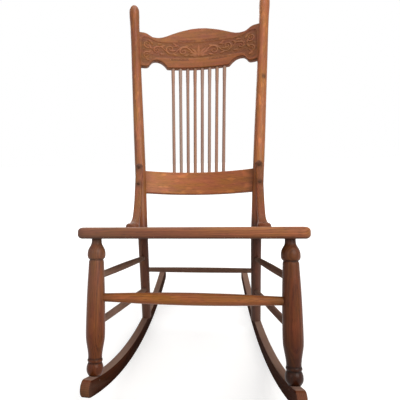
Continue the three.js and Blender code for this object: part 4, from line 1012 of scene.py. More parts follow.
class CHAIR_OT_cane(bpy.types.Operator):
    """Weaves the cane of the seat and lays the spline that holds it"""
    bl_idname = "chair.cane"
    bl_label = "Cane seat"

    def execute(self, context):
        size = sizes()
        outline = opening_loop(size.cane_lip + size.spline_width / 2, 0.0, steps=6)
        mesh = size.cane_mesh
        half = size.cane_strand * PAIR_SPACING
        centre = sum(outline, Vector()) / len(outline)
        reach = 0.235
        run = 2 * reach
        rows = int(reach / mesh) + 1
        strands = []
        for k in range(-rows, rows + 1):
            for offset in (-half, half):
                strands.append((Vector((k * mesh + offset, 0, 0)), math.pi / 2, 0))
                strands.append((Vector((0, k * mesh + offset, 0)), 0.0, 1))
        for k in range(-2 * rows, 2 * rows + 1):
            shift = (k + 0.5) * mesh / math.sqrt(2)
            for heading, layer in ((math.pi / 4, 2), (-math.pi / 4, 3)):
                aside = Vector((-math.sin(heading), math.cos(heading), 0)) * shift
                strands.append((aside, heading, layer))
        bm = bmesh.new()
        grain = bm.verts.layers.float_vector.new("grain")
        family = bm.verts.layers.int.new("family")
        for number, (aside, heading, layer) in enumerate(strands, 1):
            middle = centre + aside
            straight = layer < 2
            width = size.cane_strand * (1 if straight else SLANTING_WIDTH)
            place = (Matrix.Translation(middle) @ Matrix.Rotation(heading, 4, "Z")
                     @ Matrix.Diagonal((run, width, 1, 1)))
            pieces = int(run / (mesh / (4 if straight else 4.5)))
            made = bmesh.ops.create_grid(bm, x_segments=pieces, y_segments=1, size=0.5,
                                         matrix=place)["verts"]
            turn = Matrix.Rotation(-heading, 3, "Z")
            for vert in made:
                flat = turn @ (vert.co - middle)
                vert[grain] = Vector((flat.y, 0.01 * number, flat.x + 0.37 * number))
                vert[family] = layer
        for a, b in zip(outline, outline[1:] + outline[:1]):
            if (b - a).length < 1e-6:
                continue
            way = (b - a).normalized()
            geom = bm.verts[:] + bm.edges[:] + bm.faces[:]
            bmesh.ops.bisect_plane(bm, geom=geom, plane_co=a, plane_no=Vector((way.y, -way.x, 0)),
                                   clear_outer=True)
        for vert in bm.verts:
            waves = (vert.co - centre) * (2 * math.pi / mesh)
            level, swing, axis = CANE_LAYERS[vert[family]]
            vert.co.z = level + CANE_RISE * swing * math.cos(waves[axis]) - CANE_DEPTH
        bmesh.ops.solidify(bm, geom=bm.faces[:], thickness=CANE_THICKNESS)
        bmesh.ops.recalc_face_normals(bm, faces=bm.faces[:])
        add_piece("cane_weave", bm, "cane", ["cane_panel"], sharp=50)

        wide = size.spline_width
        foot, shoulder, crown = -0.0050, -0.0004, 0.0008
        section = [(0.0, foot), (0.0, shoulder)]
        for i in range(1, 6):
            turn = math.pi * i / 6
            section.append((wide * (1 - math.cos(turn)) / 2, crown * math.sin(turn)))
        section += [(wide, shoulder), (wide, foot)]
        rings = [opening_loop(size.cane_lip + 0.0003 + aside, height, steps=14)
                 for aside, height in section]
        bm = loft(rings + [rings[0]], closed=True)

        def round_seat(co):
            x, y = co.x, co.y - centre.y
            return co.z, math.hypot(x, y), 0.16 * math.atan2(y, x)

        set_grain(bm, Vector((0.3, 0.2, 0.1)), round_seat)
        add_piece("cane_spline_round", bm, "cane", ["cane_spline"])
        return {"FINISHED"}


# The pressed ornament of the crest, a traditional leaf scroll between bead lines
def spiral(centre, start_radius, end_radius, start, turns, wide, thin, steps=46):
    """A scroll: points (u, v, half width) that curl in from the outside."""
    points = []
    for i in range(steps + 1):
        t = i / steps
        radius = end_radius * (start_radius / end_radius) ** (1 - t)
        turn = start + turns * 2 * math.pi * t
        points.append((centre[0] + radius * math.cos(turn), centre[1] + radius * math.sin(turn),
                       lerp(wide, thin, t ** 0.7)))
    return points


def leaf(base, heading, reach, width, curl=0.0, steps=14):
    """A pointed leaf: points (u, v, half width) from its base to its tip."""
    points = []
    u, v = base
    for i in range(steps + 1):
        t = i / steps
        points.append((u, v, max(width * math.sin(math.pi * min(t * 0.92 + 0.06, 1)) ** 0.8,
                                 0.25)))
        turn = math.radians(heading + curl * t)
        u += reach / steps * math.cos(turn)
        v += reach / steps * math.sin(turn)
    return points


# Scrolls: centre, first and last radius, heading in degrees, turns, first and last half width
SCROLLS = (
    ((50, 59), 16.5, 3.4, 112, -1.35, 2.8, 1.6),
    ((93, 68), 16.0, 3.2, -68, 1.35, 2.7, 1.5),
    ((136, 60), 14.5, 2.9, 118, -1.35, 2.5, 1.4),
    ((167, 80), 13.5, 2.8, -110, 1.55, 2.6, 1.4),
    ((168, 40), 13.0, 2.7, 120, -1.5, 2.5, 1.4),
)
# Small leaves: base, heading and curl in degrees
LEAVES = (
    ((32, 77), 25, -60), ((33, 49), -40, 60), ((66, 79), 15, -50), ((69, 47), -12, 60),
    ((74, 81), 60, -70), ((76, 61), 20, -60), ((110, 80), -5, -40), ((112, 50), -30, 70),
    ((114, 72), 35, -60), ((120, 83), 15, -40), ((152, 64), 40, 50), ((153, 60), -40, -40),
    ((150, 80), 70, -50), ((158, 22), 10, 60), ((152, 90), 30, -30),
)
# Round berries: place and radius
BERRIES = ((20, 79, 1.9), (24, 84, 1.7), (63, 61, 1.8), (79, 52, 1.8), (106, 60, 1.8),
           (122, 45, 1.8), (150, 46, 1.8), (178, 60, 2.0), (178, 55, 1.7))


def ornament_strokes():
    """Raised strokes of the right half, in millimetres across and up from the crest's foot."""
    strokes = [leaf((0, 40), 90, 43, 5.2), leaf((3, 42), -14, 20, 2.8, curl=50)]
    for heading, reach, width in ((66, 39, 4.0), (42, 35, 3.8), (17, 30, 3.4)):
        strokes.append(leaf((2.5, 43), heading, reach, width, curl=-34))
    stem = []
    for i in range(71):
        u = 10 + 2 * i
        stem.append((u, 63 + 14 * math.sin(2 * math.pi * (u - 10) / 84 - 1.25),
                     lerp(2.8, 1.6, i / 70)))
    strokes.append(stem)
    for centre, start_radius, end_radius, heading, turns, wide, thin in SCROLLS:
        strokes.append(spiral(centre, start_radius, end_radius, math.radians(heading), turns,
                              wide, thin))
    strokes += [leaf(base, heading, reach=17, width=3.5, curl=curl)
                for base, heading, curl in LEAVES]
    strokes += [[(u, v, radius), (u + 0.4, v, radius)] for u, v, radius in BERRIES]
    return strokes


FIELD_FOOT = 36.0
FIELD_TOP = 91.0
# Each row of beads: its height above the crest's foot, and where it starts and ends, in mm
BEAD_ROWS = ((97.0, 12.0, 66.0), (29.5, 34.0, 90.0))


def border_line():
    """The incised line round the pressed field, right half, as (u, v) points."""
    points = [(0, FIELD_TOP), (60, FIELD_TOP), (112, 90), (134, 91), (148, 96), (160, 102),
              (172, 105), (181, 102), (184, 92), (184, 60), (184, 30), (181, 14), (172, 8),
              (161, 9), (153, 17), (147, 28), (137, 34), (118, FIELD_FOOT), (60, FIELD_FOOT),
              (0, FIELD_FOOT)]
    fine = []
    for i in range(len(points) - 1):
        p = [points[max(i - 1, 0)], points[i], points[i + 1], points[min(i + 2, len(points) - 1)]]
        for k in range(6):
            t = k / 6
            fine.append(tuple(0.5 * (2 * p[1][n] + (p[2][n] - p[0][n]) * t
                                     + (2 * p[0][n] - 5 * p[1][n] + 4 * p[2][n] - p[3][n]) * t**2
                                     + (3 * p[1][n] - p[0][n] - 3 * p[2][n] + p[3][n]) * t**3)
                              for n in (0, 1)))
    fine.append(points[-1])
    return fine


def stippling(u, v):
    """Small round pits in scattered rows, from 0 between them to 1 in their middles."""
    pitch = 3.3
    row, column = np.round(v / pitch), np.round(u / pitch)
    scatter = np.sin(column * 12.99 + row * 78.23) * 0.9
    away = np.hypot(u - (column + 0.28 * scatter) * pitch,
                    v - (row + 0.28 * np.cos(scatter * 9.0)) * pitch)
    return np.exp(-(away / 1.05) ** 2)


def stroke_reach(u, v, points):
    """Distance from each place to a stroke, and the stroke's half width there."""
    best = np.full(u.shape, 1e9)
    width = np.ones(u.shape)
    for a, b in zip(points, points[1:]):
        du, dv = b[0] - a[0], b[1] - a[1]
        run = du * du + dv * dv
        if run < 1e-9:
            continue
        t = np.clip(((u - a[0]) * du + (v - a[1]) * dv) / run, 0, 1)
        away = np.hypot(u - a[0] - t * du, v - a[1] - t * dv)
        closer = away < best
        best = np.where(closer, away, best)
        if len(a) > 2:
            width = np.where(closer, a[2] + (b[2] - a[2]) * t, width)
    return best, width


def pressed_height(u_mm, v_mm):
    """Height of the crest's face against its plain surface, from 0 down to -1."""
    u = np.abs(u_mm)
    v = v_mm
    line = border_line()
    away, _ = stroke_reach(u, v, line)
    polygon = np.array(line)
    inside = np.zeros(u.shape, bool)
    closing = np.vstack([polygon, [[0, FIELD_TOP]]])
    for (u0, v0), (u1, v1) in zip(closing, closing[1:]):
        crosses = (v0 > v) != (v1 > v)
        slope = (u1 - u0) / (v1 - v0) if v1 != v0 else 0.0
        inside ^= crosses & (u < (v - v0) * slope + u0)
    inside |= (u < 1e-3) & (v > FIELD_FOOT) & (v < FIELD_TOP)
    fade = np.clip(away / 2.6, 0, 1)
    height = np.where(inside, -0.62 * fade * fade * (3 - 2 * fade), 0.0)
    raised = np.zeros(u.shape)
    vein = np.zeros(u.shape)
    for points in ornament_strokes():
        reach, width = stroke_reach(u, v, points)
        share = np.clip(1 - (reach / width) ** 2, 0, 1)
        raised = np.maximum(raised, np.sqrt(share) * np.minimum(1.0, 0.55 + width / 6))
        if len(points) < 20:
            vein = np.maximum(vein, np.exp(-(reach / 0.55) ** 2) * (width > 1.4))
    ground = np.clip(1 - raised * 4, 0, 1) * fade
    height = height + np.where(inside, raised * 0.80 - vein * 0.28
                               - 0.24 * ground * stippling(u, v), 0.0)
    height = height - 0.70 * np.exp(-(away / 1.1) ** 2)
    for level, low, high in BEAD_ROWS:
        pitch = 4.4
        place = (u - low) / pitch
        near = (place - np.round(place)) * pitch
        bead = np.clip(1 - (near / 1.9) ** 2 - ((v - level) / 2.1) ** 2, 0, 1)
        rows = (u > low - 2) & (u < high + 2)
        trough = np.exp(-((v - level) / 2.7) ** 4) * np.clip((high + 4 - u) / 3, 0, 1)
        trough *= np.clip((u - low + 4) / 3, 0, 1)
        height = height + np.where(rows, -0.55 * trough + 0.85 * np.sqrt(bead), 0.0)
    return height


# Bent rails of the back
def rail_section(thickness, rise, edge, front_steps, edge_steps=4, back_steps=10):
    """Points round a rail's section: depth, height above its foot, whether on its front face."""
    half = thickness / 2
    quarter = quarter_round(edge_steps, ends=False)
    outline = [(-half, lerp(edge, rise - edge, i / front_steps)) for i in range(front_steps + 1)]
    front = len(outline)
    outline += [(-half + edge * a, rise - edge * b) for a, b in quarter]
    outline += [(-half + edge, rise), (half - edge, rise)]
    outline += [(half - edge * b, rise - edge * a) for a, b in quarter]
    outline += [(half, lerp(rise - edge, edge, i / back_steps)) for i in range(back_steps + 1)]
    outline += [(half - edge * a, edge * b) for a, b in quarter]
    outline += [(half - edge, 0.0), (-half + edge, 0.0)]
    outline += [(-half + edge * b, edge * a) for a, b in quarter]
    return [(depth, height, i < front) for i, (depth, height) in enumerate(outline)]


def bow_at(bow, u, half):
    """How far a rail of that bow stands behind the posts' plane."""
    return bow * (1 - (u / half) ** 2)


def bent_rail(half, bow, thickness, edge, foot, top, stations, front_steps, pressing=None):
    """A bowed rail between the posts, as a bmesh, with ornament pressed so deep in its front.

    The heights of its foot and top are functions of the share of the way to the post, and the
    foot's also of whether that is the left one.
    """
    sections = []
    for i in range(stations + 1):
        u = lerp(-half, half, i / stations)
        share = abs(u) / half
        low, high = foot(share, u < 0), top(share)
        sections.append((u, low, rail_section(thickness, high - low, edge, front_steps)))
    depth = None
    if pressing:
        across = np.array([[u * 1000] * len(section) for u, _, section in sections])
        up = np.array([[(low + point[1]) * 1000 for point in section]
                       for _, low, section in sections]) - foot(0, False) * 1000
        depth = pressed_height(across, up) * pressing
    rings = []
    for i, (u, low, section) in enumerate(sections):
        slope = -2 * bow * u / half**2
        lean = math.hypot(1, slope)
        w = bow_at(bow, u, half)
        ring = []
        for k, (aside, rise, shown) in enumerate(section):
            if shown and depth is not None:
                aside -= depth[i][k]
            ring.append(back_point(u - aside * slope / lean, low + rise, w + aside / lean))
        rings.append(ring)
    return loft(rings)


def rail_place(co, bow, half):
    """A point of a bowed rail: across, up the back, and behind the rail's middle."""
    rake = sizes().back_rake
    rel = co - back_point(0, 0)
    w = rel.y * math.cos(rake) - rel.z * math.sin(rake)
    return co.x, rel.y * math.sin(rake) + rel.z * math.cos(rake), w - bow_at(bow, co.x, half)


def rail_wood(bow, half):
    """The place in the wood of a point of a bowed rail, with Z along the rail."""
    def place(co):
        u, v, w = rail_place(co, bow, half)
        return v, w, u

    return place


# Rounding of the rails' long edges
CREST_EDGE = 0.004
SLAT_EDGE = 0.0028
# The left end of the crest's foot is cut a little wider and higher than the right one
LEFT_FOOT_SHIFT = 0.018
LEFT_FOOT_RISE = 1.1


class CHAIR_OT_crest_rail(bpy.types.Operator):
    """Shapes the crest rail and presses its ornament"""
    bl_idname = "chair.crest_rail"
    bl_label = "Crest rail"

    def execute(self, context):
        size = sizes()
        half = post_half(size.crest_bottom + size.crest_height / 2)
        front = -size.crest_thickness / 2

        def foot(share, left):
            rise = smooth_value(CREST_FOOT_SHARES, share - (LEFT_FOOT_SHIFT if left else 0.0))
            return size.crest_bottom + size.crest_height * rise * (LEFT_FOOT_RISE if left else 1.0)

        def top(share):
            return size.crest_bottom + size.crest_height * smooth_value(CREST_TOP_SHARES, share)

        def flat(co):
            u, v, w = rail_place(co, size.crest_bow, half)
            return u, v, w / math.hypot(1, 2 * size.crest_bow * u / half**2)

        def soil(co):
            u, v, w = flat(co)
            sunk = (w - front) / size.pressing_depth
            level = 0.06 + 0.30 * fade_out(half - 0.016 - abs(u), 0.02)
            if 0.0 < sunk < 1.2:
                above_foot = (v - size.crest_bottom) * 1000
                beads = any(abs(above_foot - height) < 3.4 and start - 4 < abs(u) * 1000 < end + 4
                            for height, start, end in BEAD_ROWS)
                level += (2.2 if beads else 0.5) * sunk
            return level

        # Painted highlight on the proud parts of the ornament, in broken flecks, with polish worn
        # off them
        def painted_highlight(co):
            u, v, w = flat(co)
            proud = (front - w) / size.pressing_depth - 0.02
            return clamp01(proud * 6) * (0.7 + 0.3 * math.sin(700 * u + 5 * math.sin(900 * v)))

        # Lighter on the proud ornament; darker towards the right end as painted shade, where the bow
        # turns it from the light
        def tone(co):
            return (1 + 0.62 * painted_highlight(co)) * lerp(0.93, 0.73, clamp01(co.x / 0.15))

        bm = bent_rail(half, size.crest_bow, size.crest_thickness, CREST_EDGE, foot, top,
                       stations=440, front_steps=150, pressing=size.pressing_depth)
        # The dust film tints the painted highlights of the ornament pale
        set_wood(bm, 21, soil, lambda co: 0.36 * painted_highlight(co), tone, rail_wood(size.crest_bow, half))
        add_piece("crest_rail_pressed", bm, "oak_show",
                  ["crest_rail", "crest_nail_left", "crest_nail_right"], sharp=60)
        return {"FINISHED"}


class CHAIR_OT_back_slat(bpy.types.Operator):
    """Bends the lower slat of the back"""
    bl_idname = "chair.back_slat"
    bl_label = "Back slat"

    def execute(self, context):
        size = sizes()
        half = post_half(size.slat_bottom + size.slat_height / 2)

        def soil(co):
            return 0.05 + 0.4 * fade_out(half - 0.016 - abs(co.x), 0.015)

        # Painted light and shade: lighter towards the left, where the bow turns it to the light from
        # the right, darker towards the right
        def tone(co):
            return lerp(1.12, 0.84, 0.5 + 0.5 * math.tanh((co.x - 0.01) / 0.07))

        bm = bent_rail(half, size.slat_bow, size.slat_thickness, SLAT_EDGE,
                       lambda share, left: size.slat_bottom,
                       lambda share: size.slat_bottom + size.slat_height,
                       stations=80, front_steps=16)
        set_wood(bm, 22, soil, 0.0, tone, rail_wood(size.slat_bow, half))
        add_piece("back_slat_oak", bm, "oak_back",
                  ["back_slat", "slat_nail_left", "slat_nail_right"])
        return {"FINISHED"}


class CHAIR_OT_spindles(bpy.types.Operator):
    """Turns the slender spindles of the back"""
    bl_idname = "chair.spindles"
    bl_label = "Spindles"

    def execute(self, context):
        size = sizes()
        slat_v = size.slat_bottom + size.slat_height
        slat_half = post_half(slat_v - size.slat_height / 2)
        crest_half = post_half(size.crest_bottom + size.crest_height / 2)
        tenon = 0.004
        head = size.spindle_head / size.spindle_radius
        table = ((0.0, 0.94), (0.012, 0.97), (0.05, 1.0), (0.70, 1.0), (0.80, 1.03),
                 (0.93, head), (0.975, head), (1.0, 1.06))
        for index in range(size.spindles):
            count = index - (size.spindles - 1) / 2
            low, high = count * size.pitch_slat, count * size.pitch_crest
            start = back_point(low, slat_v - tenon, bow_at(size.slat_bow, low, slat_half))
            end = back_point(high, size.crest_bottom + tenon,
                             bow_at(size.crest_bow, high, crest_half))
            run = (end - start).length
            rows = profile_points(table, run, size.spindle_radius, count=30)
            bm = turned(rows, sides=24)
            set_wood(bm, 31 + index, lambda co: 0.1 + 0.6 * fade_out(min(co.z, run - co.z), 0.012),
                     1.20 + 0.35 * math.sin(1.7 * index), 0.86 + 0.16 * math.sin(2.4 * index + 0.6))
            stand(bm, start, end)
            add_piece(f"spindle_{index + 1}_oak", bm, "oak_back",
                      [f"spindle_{index + 1}"])
        return {"FINISHED"}


# Brace arms
BRACE_SCREW_DROPS = (0.014, 0.064)
# The left and the right arm: its film of dust, and its tone above the foot
BRACE_LOOKS = ((0.16, 0.90), (0.0, 0.76))
BRACE_CLEARANCE = 0.0003
# Length of a brace arm's straight upper end and flat toe, and how far its curve is pulled on
# past the one and before the other, as shares of its drop
BRACE_STRAIGHT = 0.052
BRACE_TOE = 0.017
BRACE_PULLS = (0.72, 0.33)


def brace_x(side):
    return side * (post_half(0) + sizes().brace_outset)


def brace_screw_spots(side):
    """Where the two screws pass through the front face of a brace arm."""
    size = sizes()
    face = -(size.post_radius + BRACE_CLEARANCE + size.brace_thickness)
    return [back_point(brace_x(side), size.brace_height - drop, face)
            for drop in BRACE_SCREW_DROPS]


def brace_route():
    """The middle line of a brace arm at X 0, from its upper end to its toe."""
    size = sizes()
    rest = size.post_radius + BRACE_CLEARANCE + size.brace_thickness / 2
    top = back_point(0, size.brace_height, -rest)
    bend = back_point(0, size.brace_height - BRACE_STRAIGHT, -rest)
    level = size.brace_foot_thickness / 2
    toe = Vector((0, size.leg_to_post - size.post_radius - size.brace_reach, level))
    heel = toe + Vector((0, BRACE_TOE, 0))
    down = (bend - top).normalized()
    drop = bend.z - level
    first = bend + down * drop * BRACE_PULLS[0]
    second = heel + Vector((0, drop * BRACE_PULLS[1], 0))
    end_steps, steps, toe_steps = 14, 40, 8
    points = [top.lerp(bend, i / end_steps) for i in range(end_steps)]
    for i in range(steps + 1):
        t = i / steps
        points.append(bend * (1 - t)**3 + first * 3 * t * (1 - t)**2
                      + second * 3 * t**2 * (1 - t) + heel * t**3)
    points += [heel.lerp(toe, i / toe_steps) for i in range(1, toe_steps + 1)]
    return points


def rounded_box(width, height, edge, steps=5):
    """Points round a rectangle with rounded corners."""
    edge = min(edge, width / 2.02, height / 2.02)
    points = []
    for corner in range(4):
        sign_x = 1 if corner in (0, 3) else -1
        sign_y = 1 if corner < 2 else -1
        for step in range(steps + 1):
            turn = math.pi / 2 * (corner + step / steps)
            points.append((sign_x * (width / 2 - edge) + edge * math.cos(turn),
                           sign_y * (height / 2 - edge) + edge * math.sin(turn)))
    return points


def end_round(distance, reach, least=0.12):
    """How wide a rounded end is at a distance from its tip, as a share."""
    return least + (1 - least) * math.sqrt(1 - (1 - clamp01(distance / reach)) ** 2)


class CHAIR_OT_brace_arms(bpy.types.Operator):
    """Bends the two brace arms between the posts and the seat"""
    bl_idname = "chair.brace_arms"
    bl_label = "Brace arms"

    def execute(self, context):
        size = sizes()
        points = brace_route()
        places = route_places(points)
        run = places[-1]
        foot_run = 0.080
        steps = 96
        across = Vector((1, 0, 0))
        for number, (word, side) in enumerate(SIDES):
            rings = []
            for k in range(steps + 1):
                even = k / steps
                at = lerp(even, (1 - math.cos(math.pi * even)) / 2, 0.75) * run
                centre, _, about = route_spot(points, places, at)
                normal = across.cross(about.normalized()).normalized()
                t = clamp01((at - run + foot_run) / foot_run)
                ease = t * t * (3 - 2 * t)
                width = lerp(size.brace_width, size.brace_foot, ease)
                thick = lerp(size.brace_thickness, size.brace_foot_thickness, ease)
                narrow = min(end_round(at, width / 2), end_round(run - at, width / 2))
                section = rounded_box(width * narrow, thick * lerp(0.45, 1, narrow),
                                      lerp(0.0052, thick * 0.49, ease))
                rings.append([centre + across * (x + brace_x(side)) + normal * y
                              for x, y in section])
            bm = loft(rings)
            screws = brace_screw_spots(side)
            film, upper_tone = BRACE_LOOKS[number]

            def soil(co):
                near = min((co - screw).length for screw in screws)
                return (0.10 + 0.7 * fade_out(co.z, 0.006) + 0.35 * (co.z > 0.186)
                        + 1.1 * bell(near, 0.0085))

            set_wood(bm, 41 + number, soil, film,
                     lambda co: lerp(0.50, upper_tone, clamp01(co.z / 0.06)),
                     lambda co: (co.x, co.y * 0.55 + co.z * 0.2, co.z - co.y))
            cut(bm, Vector((0, 0, 0.0001)), Vector((0, 0, -1)))
            add_piece(f"brace_arm_{word}_oak", bm, "oak_show",
                      [f"brace_arm_{word}"])
        return {"FINISHED"}


# Stretchers
STRETCHER_SHARES = (
    (0.0, 0.0), (0.05, 0.05), (0.12, 0.25), (0.22, 0.58), (0.34, 0.85), (0.5, 1.0),
    (0.66, 0.85), (0.78, 0.58), (0.88, 0.25), (0.95, 0.05), (1.0, 0.0),
)
# The two stretchers of a side: how far under the seat they meet the leg and the post
SIDE_STRETCHER_DROPS = (("upper", 0.100, 0.079), ("lower", 0.1945, 0.172))
FRONT_STRETCHER_DROP = 0.1405
REAR_STRETCHER_DROP = 0.113


def leg_axis_below(side, drop):
    return Vector((side * sizes().leg_half_spacing, 0, -drop))


def post_axis_below(side, drop):
    _, foot, down = post_route(side)
    return foot - down * ((foot.z + drop) / down.z)


def add_stretcher(name, ends, radii, look, number, film, tone):
    start, end = ends
    run = (end - start).length
    steps = 60
    rows = [(lerp(*radii, smooth_value(STRETCHER_SHARES, i / steps)), run * i / steps)
            for i in range(steps + 1)]
    bm = turned(rows, sides=32)
    set_wood(bm, number, lambda co: 0.12 + 0.75 * fade_out(min(co.z, run - co.z), 0.045),
             film, tone)
    stand(bm, start, end)
    add_piece(f"{name}_oak", bm, look, [name])


class CHAIR_OT_stretchers(bpy.types.Operator):
    """Turns the stretchers between the legs and posts"""
    bl_idname = "chair.stretchers"
    bl_label = "Stretchers"

    def execute(self, context):
        size = sizes()
        number = 51
        for (word, side), film, tone in zip(SIDES, (1.05, 0.75), (1.0, 0.75)):
            for level, front, rear in SIDE_STRETCHER_DROPS:
                ends = leg_axis_below(side, front), post_axis_below(side, rear)
                add_stretcher(f"side_stretcher_{level}_{word}", ends,
                              (0.0068, size.side_stretcher), "oak_under", number,
                              film, tone)
                number += 1
        ends = [leg_axis_below(side, FRONT_STRETCHER_DROP) for _, side in SIDES]
        add_stretcher("front_stretcher", ends, (0.0082, size.front_stretcher), "oak_turned",
                      number, 0.0, 1.0)
        ends = [post_axis_below(side, REAR_STRETCHER_DROP) for _, side in SIDES]
        add_stretcher("rear_stretcher", ends, (0.0066, size.rear_stretcher), "oak_under",
                      number + 1, 0.75, 0.75)
        return {"FINISHED"}


# Fasteners
SCREW_RADIUS = 0.0042
SCREW_RISE = 0.0011
PIN_RADIUS = 0.0019
# Where they sit: behind the brace arm's toe, up the back and behind the post's axis, under the
# leg's foot, and under the post's foot
TOE_SCREW_BACK = 0.014
SEAT_SCREW_V = -0.0065
SEAT_SCREW_BACK = 0.0143
FRONT_PIN_DEPTH = 0.008
REAR_PIN_DEPTH = 0.0075


def screw_head(radius, rise, slot_width):
    """A low domed head with a straight slot, looking up Z from its rim at Z 0."""
    rows = [(0.0, -0.0015), (radius, -0.0015), (radius, 0.0)]
    for i in range(1, 7):
        turn = math.pi / 2 * i / 6
        rows.append((radius * math.cos(turn), rise * math.sin(turn)))
    parts = []
    for sign in (-1, 1):
        part = turned(rows, sides=28)
        cut(part, Vector((sign * slot_width / 2, 0, 0)), Vector((-sign, 0, 0)))
        parts.append(part)
    parts.append(turned([(0.0, -0.002), (radius * 0.97, -0.002), (radius * 0.97, rise * 0.15),
                         (0.0, rise * 0.15)], sides=28))
    bm = bmesh.new()
    for part in parts:
        mesh = bpy.data.meshes.new("head_part")
        part.to_mesh(mesh)
        part.free()
        bm.from_mesh(mesh)
        bpy.data.meshes.remove(mesh)
    return bm


def add_screw(name, at, aim, turn):
    """Adds the head of a screw that stands for the whole screw."""
    bm = screw_head(SCREW_RADIUS, SCREW_RISE, SCREW_RADIUS * 0.26)
    bmesh.ops.rotate(bm, cent=(0, 0, 0), matrix=Matrix.Rotation(turn, 3, "Z"), verts=bm.verts[:])
    stand(bm, at, at + aim)
    add_piece(f"{name}_head", bm, "steel", [name])


class CHAIR_OT_fasteners(bpy.types.Operator):
    """Adds the heads of the screws and the pins through the rockers"""
    bl_idname = "chair.fasteners"
    bl_label = "Fasteners"

    def execute(self, context):
        size = sizes()
        rake = size.back_rake
        ahead = Vector((0, -math.cos(rake), math.sin(rake)))
        thick = size.rocker_thickness
        for number, (word, side) in enumerate(SIDES):
            for level, drop, spot in zip(("upper", "middle"), BRACE_SCREW_DROPS,
                                         brace_screw_spots(side)):
                add_screw(f"brace_screw_{level}_{word}", spot, ahead, 0.6 + number + 9 * drop)
            toe = brace_route()[-1]
            add_screw(f"brace_screw_lower_{word}",
                      Vector((brace_x(side), toe.y + TOE_SCREW_BACK, size.brace_foot_thickness)),
                      Vector((0, 0, 1)), 1.1 + number)
            axis = back_point(side * post_half(SEAT_SCREW_V), SEAT_SCREW_V)
            add_screw(f"seat_screw_{word}", axis + Vector((0, SEAT_SCREW_BACK, 0)),
                      Vector((0, 1, 0)), 0.3 + number)
            at, slope = rocker_line(side)
            along = Vector((slope, 1, 0)).normalized()
            outward = Vector((along.y, -along.x, 0)) * side
            _, foot, down = post_route(side)
            for end, spot in (("front", leg_axis_below(side, FRONT_PIN_DEPTH - rocker_top(0))),
                              ("rear", foot + down * REAR_PIN_DEPTH)):
                place = BODY @ spot
                centre = Vector((at + slope * (place.y - rest_y), place.y, place.z))
                bm = turned([(0.0, 0.0), (PIN_RADIUS, 0.0), (PIN_RADIUS, thick + 0.0006),
                             (0.0, thick + 0.0008)], sides=16)
                start = centre - outward * (thick / 2 + 0.0003)
                stand(bm, start, start + outward)
                name = f"rocker_pin_{end}_{word}"
                add_piece(f"{name}_steel", bm, "steel", [name],
                          matrix=Matrix.Identity(4))
        return {"FINISHED"}


# Stage
# Each lamp: its name, place, aim, width, watts and colour
LAMPS = (
    ("key_window", (1.45, -1.75, 1.75), (0.0, 0.05, 0.60), 2.0, 65.0, (1.0, 0.965, 0.92)),
    ("fill_wall", (-1.8, -2.1, 1.5), (0.0, 0.05, 0.60), 1.4, 15.0, (0.97, 0.98, 1.0)),
    ("top_soft", (0.1, 0.1, 2.5), (0.0, 0.0, 0.50), 1.4, 24.0, (1.0, 0.98, 0.96)),
    ("back_soft", (-0.7, 2.5, 1.9), (0.0, 0.0, 0.55), 2.0, 34.0, (1.0, 0.98, 0.96)),
)
# Strength of the world as a light; to the camera it is plain white
WORLD_LIGHT = 0.16
# The camera in the body's own axes, as fitted to the photo's outline
CAMERA_PLACE = (0.053677, -0.817690, -0.021569)
CAMERA_YAW = -0.14053
CAMERA_PITCH = 0.092682


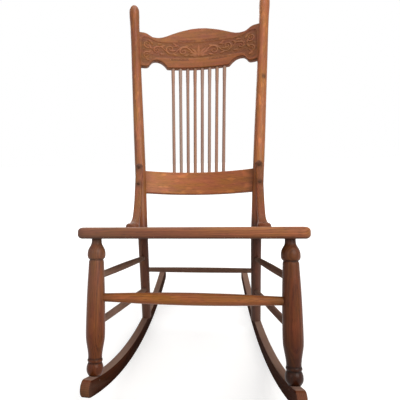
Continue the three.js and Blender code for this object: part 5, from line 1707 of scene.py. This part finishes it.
class CHAIR_OT_stage(bpy.types.Operator):
    """Sets the floor, the soft lights and the camera"""
    bl_idname = "chair.stage"
    bl_label = "Stage"

    def execute(self, context):
        scene = context.scene
        bm = bmesh.new()
        bmesh.ops.create_grid(bm, x_segments=1, y_segments=1, size=9.0)
        mesh = bpy.data.meshes.new("studio_floor")
        bm.to_mesh(mesh)
        bm.free()
        link_object("studio_floor", mesh)

        # A floor that looks paler farther out, and lights the chair as a plain one does
        material, look, shader = new_material("pale_floor")
        look.feed(shader, {"Base Color": tuple(colours().floor), "Roughness": 0.9})
        place = look.add("TexCoord", {}).outputs["Object"]
        away = look.vector("LENGTH", {0: place}, "Value")
        level = look.add("MapRange", {"Value": away, "From Min": 0.6, "From Max": 1.6,
                                      "To Min": 0.63, "To Max": 1.0}).outputs[0]
        glow = look.add("Emission", {"Strength": look.maths("MULTIPLY", look.seen_directly(),
                                                            level)})
        both = look.add("AddShader", {0: shader.outputs[0], 1: glow.outputs[0]})
        look.feed(look.tree.nodes["Material Output"], {"Surface": both.outputs[0]})
        mesh.materials.append(material)

        world = bpy.data.worlds.new("studio")
        scene.world = world
        world.use_nodes = True
        look = Nodes(world.node_tree)
        look.feed(look.tree.nodes["Background"], {
            "Color": (1.0, 1.0, 1.0, 1.0),
            "Strength": look.maths("MULTIPLY_ADD", look.seen_directly(),
                                   1 - WORLD_LIGHT, WORLD_LIGHT),
        })

        for name, place, aim, width, power, tint in LAMPS:
            lamp = bpy.data.lights.new(name, "AREA")
            lamp.shape = "DISK"
            lamp.size = width
            lamp.energy = power
            lamp.color = tint
            holder = link_object(name, lamp)
            holder.location = place
            way = Vector(aim) - Vector(place)
            holder.rotation_euler = way.to_track_quat("-Z", "Y").to_euler()

        camera = bpy.data.cameras.new("photo_camera")
        camera.sensor_width = 36.0
        camera.lens = 36.9
        camera.shift_x = 0.10155
        camera.clip_end = 50.0
        yaw, pitch = CAMERA_YAW, CAMERA_PITCH
        ahead = Vector((math.sin(yaw) * math.cos(pitch), math.cos(yaw) * math.cos(pitch),
                        math.sin(pitch)))
        right = Vector((math.cos(yaw), -math.sin(yaw), 0))
        turn = Matrix((right, right.cross(ahead), -ahead)).transposed().to_4x4()
        holder = link_object("photo_camera", camera)
        holder.matrix_world = BODY @ Matrix.Translation(CAMERA_PLACE) @ turn
        scene.camera = holder
        scene.view_settings.view_transform = "Standard"
        return {"FINISHED"}


STEPS = (
    CHAIR_OT_stage, CHAIR_OT_rockers, CHAIR_OT_front_legs, CHAIR_OT_back_posts,
    CHAIR_OT_seat_frame, CHAIR_OT_cane, CHAIR_OT_crest_rail, CHAIR_OT_back_slat,
    CHAIR_OT_spindles, CHAIR_OT_brace_arms, CHAIR_OT_stretchers, CHAIR_OT_fasteners,
)


class CHAIR_PT_rocker(bpy.types.Panel):
    """Lists the steps that build the rocker"""
    bl_idname = "CHAIR_PT_rocker"
    bl_label = "Rocker"
    bl_space_type = "VIEW_3D"
    bl_region_type = "UI"
    bl_category = "Rocker"

    def draw(self, context):
        for step in STEPS:
            self.layout.operator(step.bl_idname)
        for group in (context.scene.chair_sizes, context.scene.chair_colours):
            for name in group.bl_rna.properties.keys():
                if name not in {"rna_type", "name"}:
                    self.layout.prop(group, name)


CLASSES = (ChairSizes, ChairColours) + STEPS + (CHAIR_PT_rocker,)


def register():
    for cls in CLASSES:
        bpy.utils.register_class(cls)
    bpy.types.Scene.chair_sizes = PointerProperty(type=ChairSizes)
    bpy.types.Scene.chair_colours = PointerProperty(type=ChairColours)


def unregister():
    del bpy.types.Scene.chair_colours
    del bpy.types.Scene.chair_sizes
    for cls in reversed(CLASSES):
        bpy.utils.unregister_class(cls)


def main():
    register()
    bpy.ops.chair.stage()
    bpy.ops.chair.rockers()
    bpy.ops.chair.front_legs()
    bpy.ops.chair.back_posts()
    bpy.ops.chair.seat_frame()
    bpy.ops.chair.cane()
    bpy.ops.chair.crest_rail()
    bpy.ops.chair.back_slat()
    bpy.ops.chair.spindles()
    bpy.ops.chair.brace_arms()
    bpy.ops.chair.stretchers()
    bpy.ops.chair.fasteners()


if __name__ == "__main__":
    main()
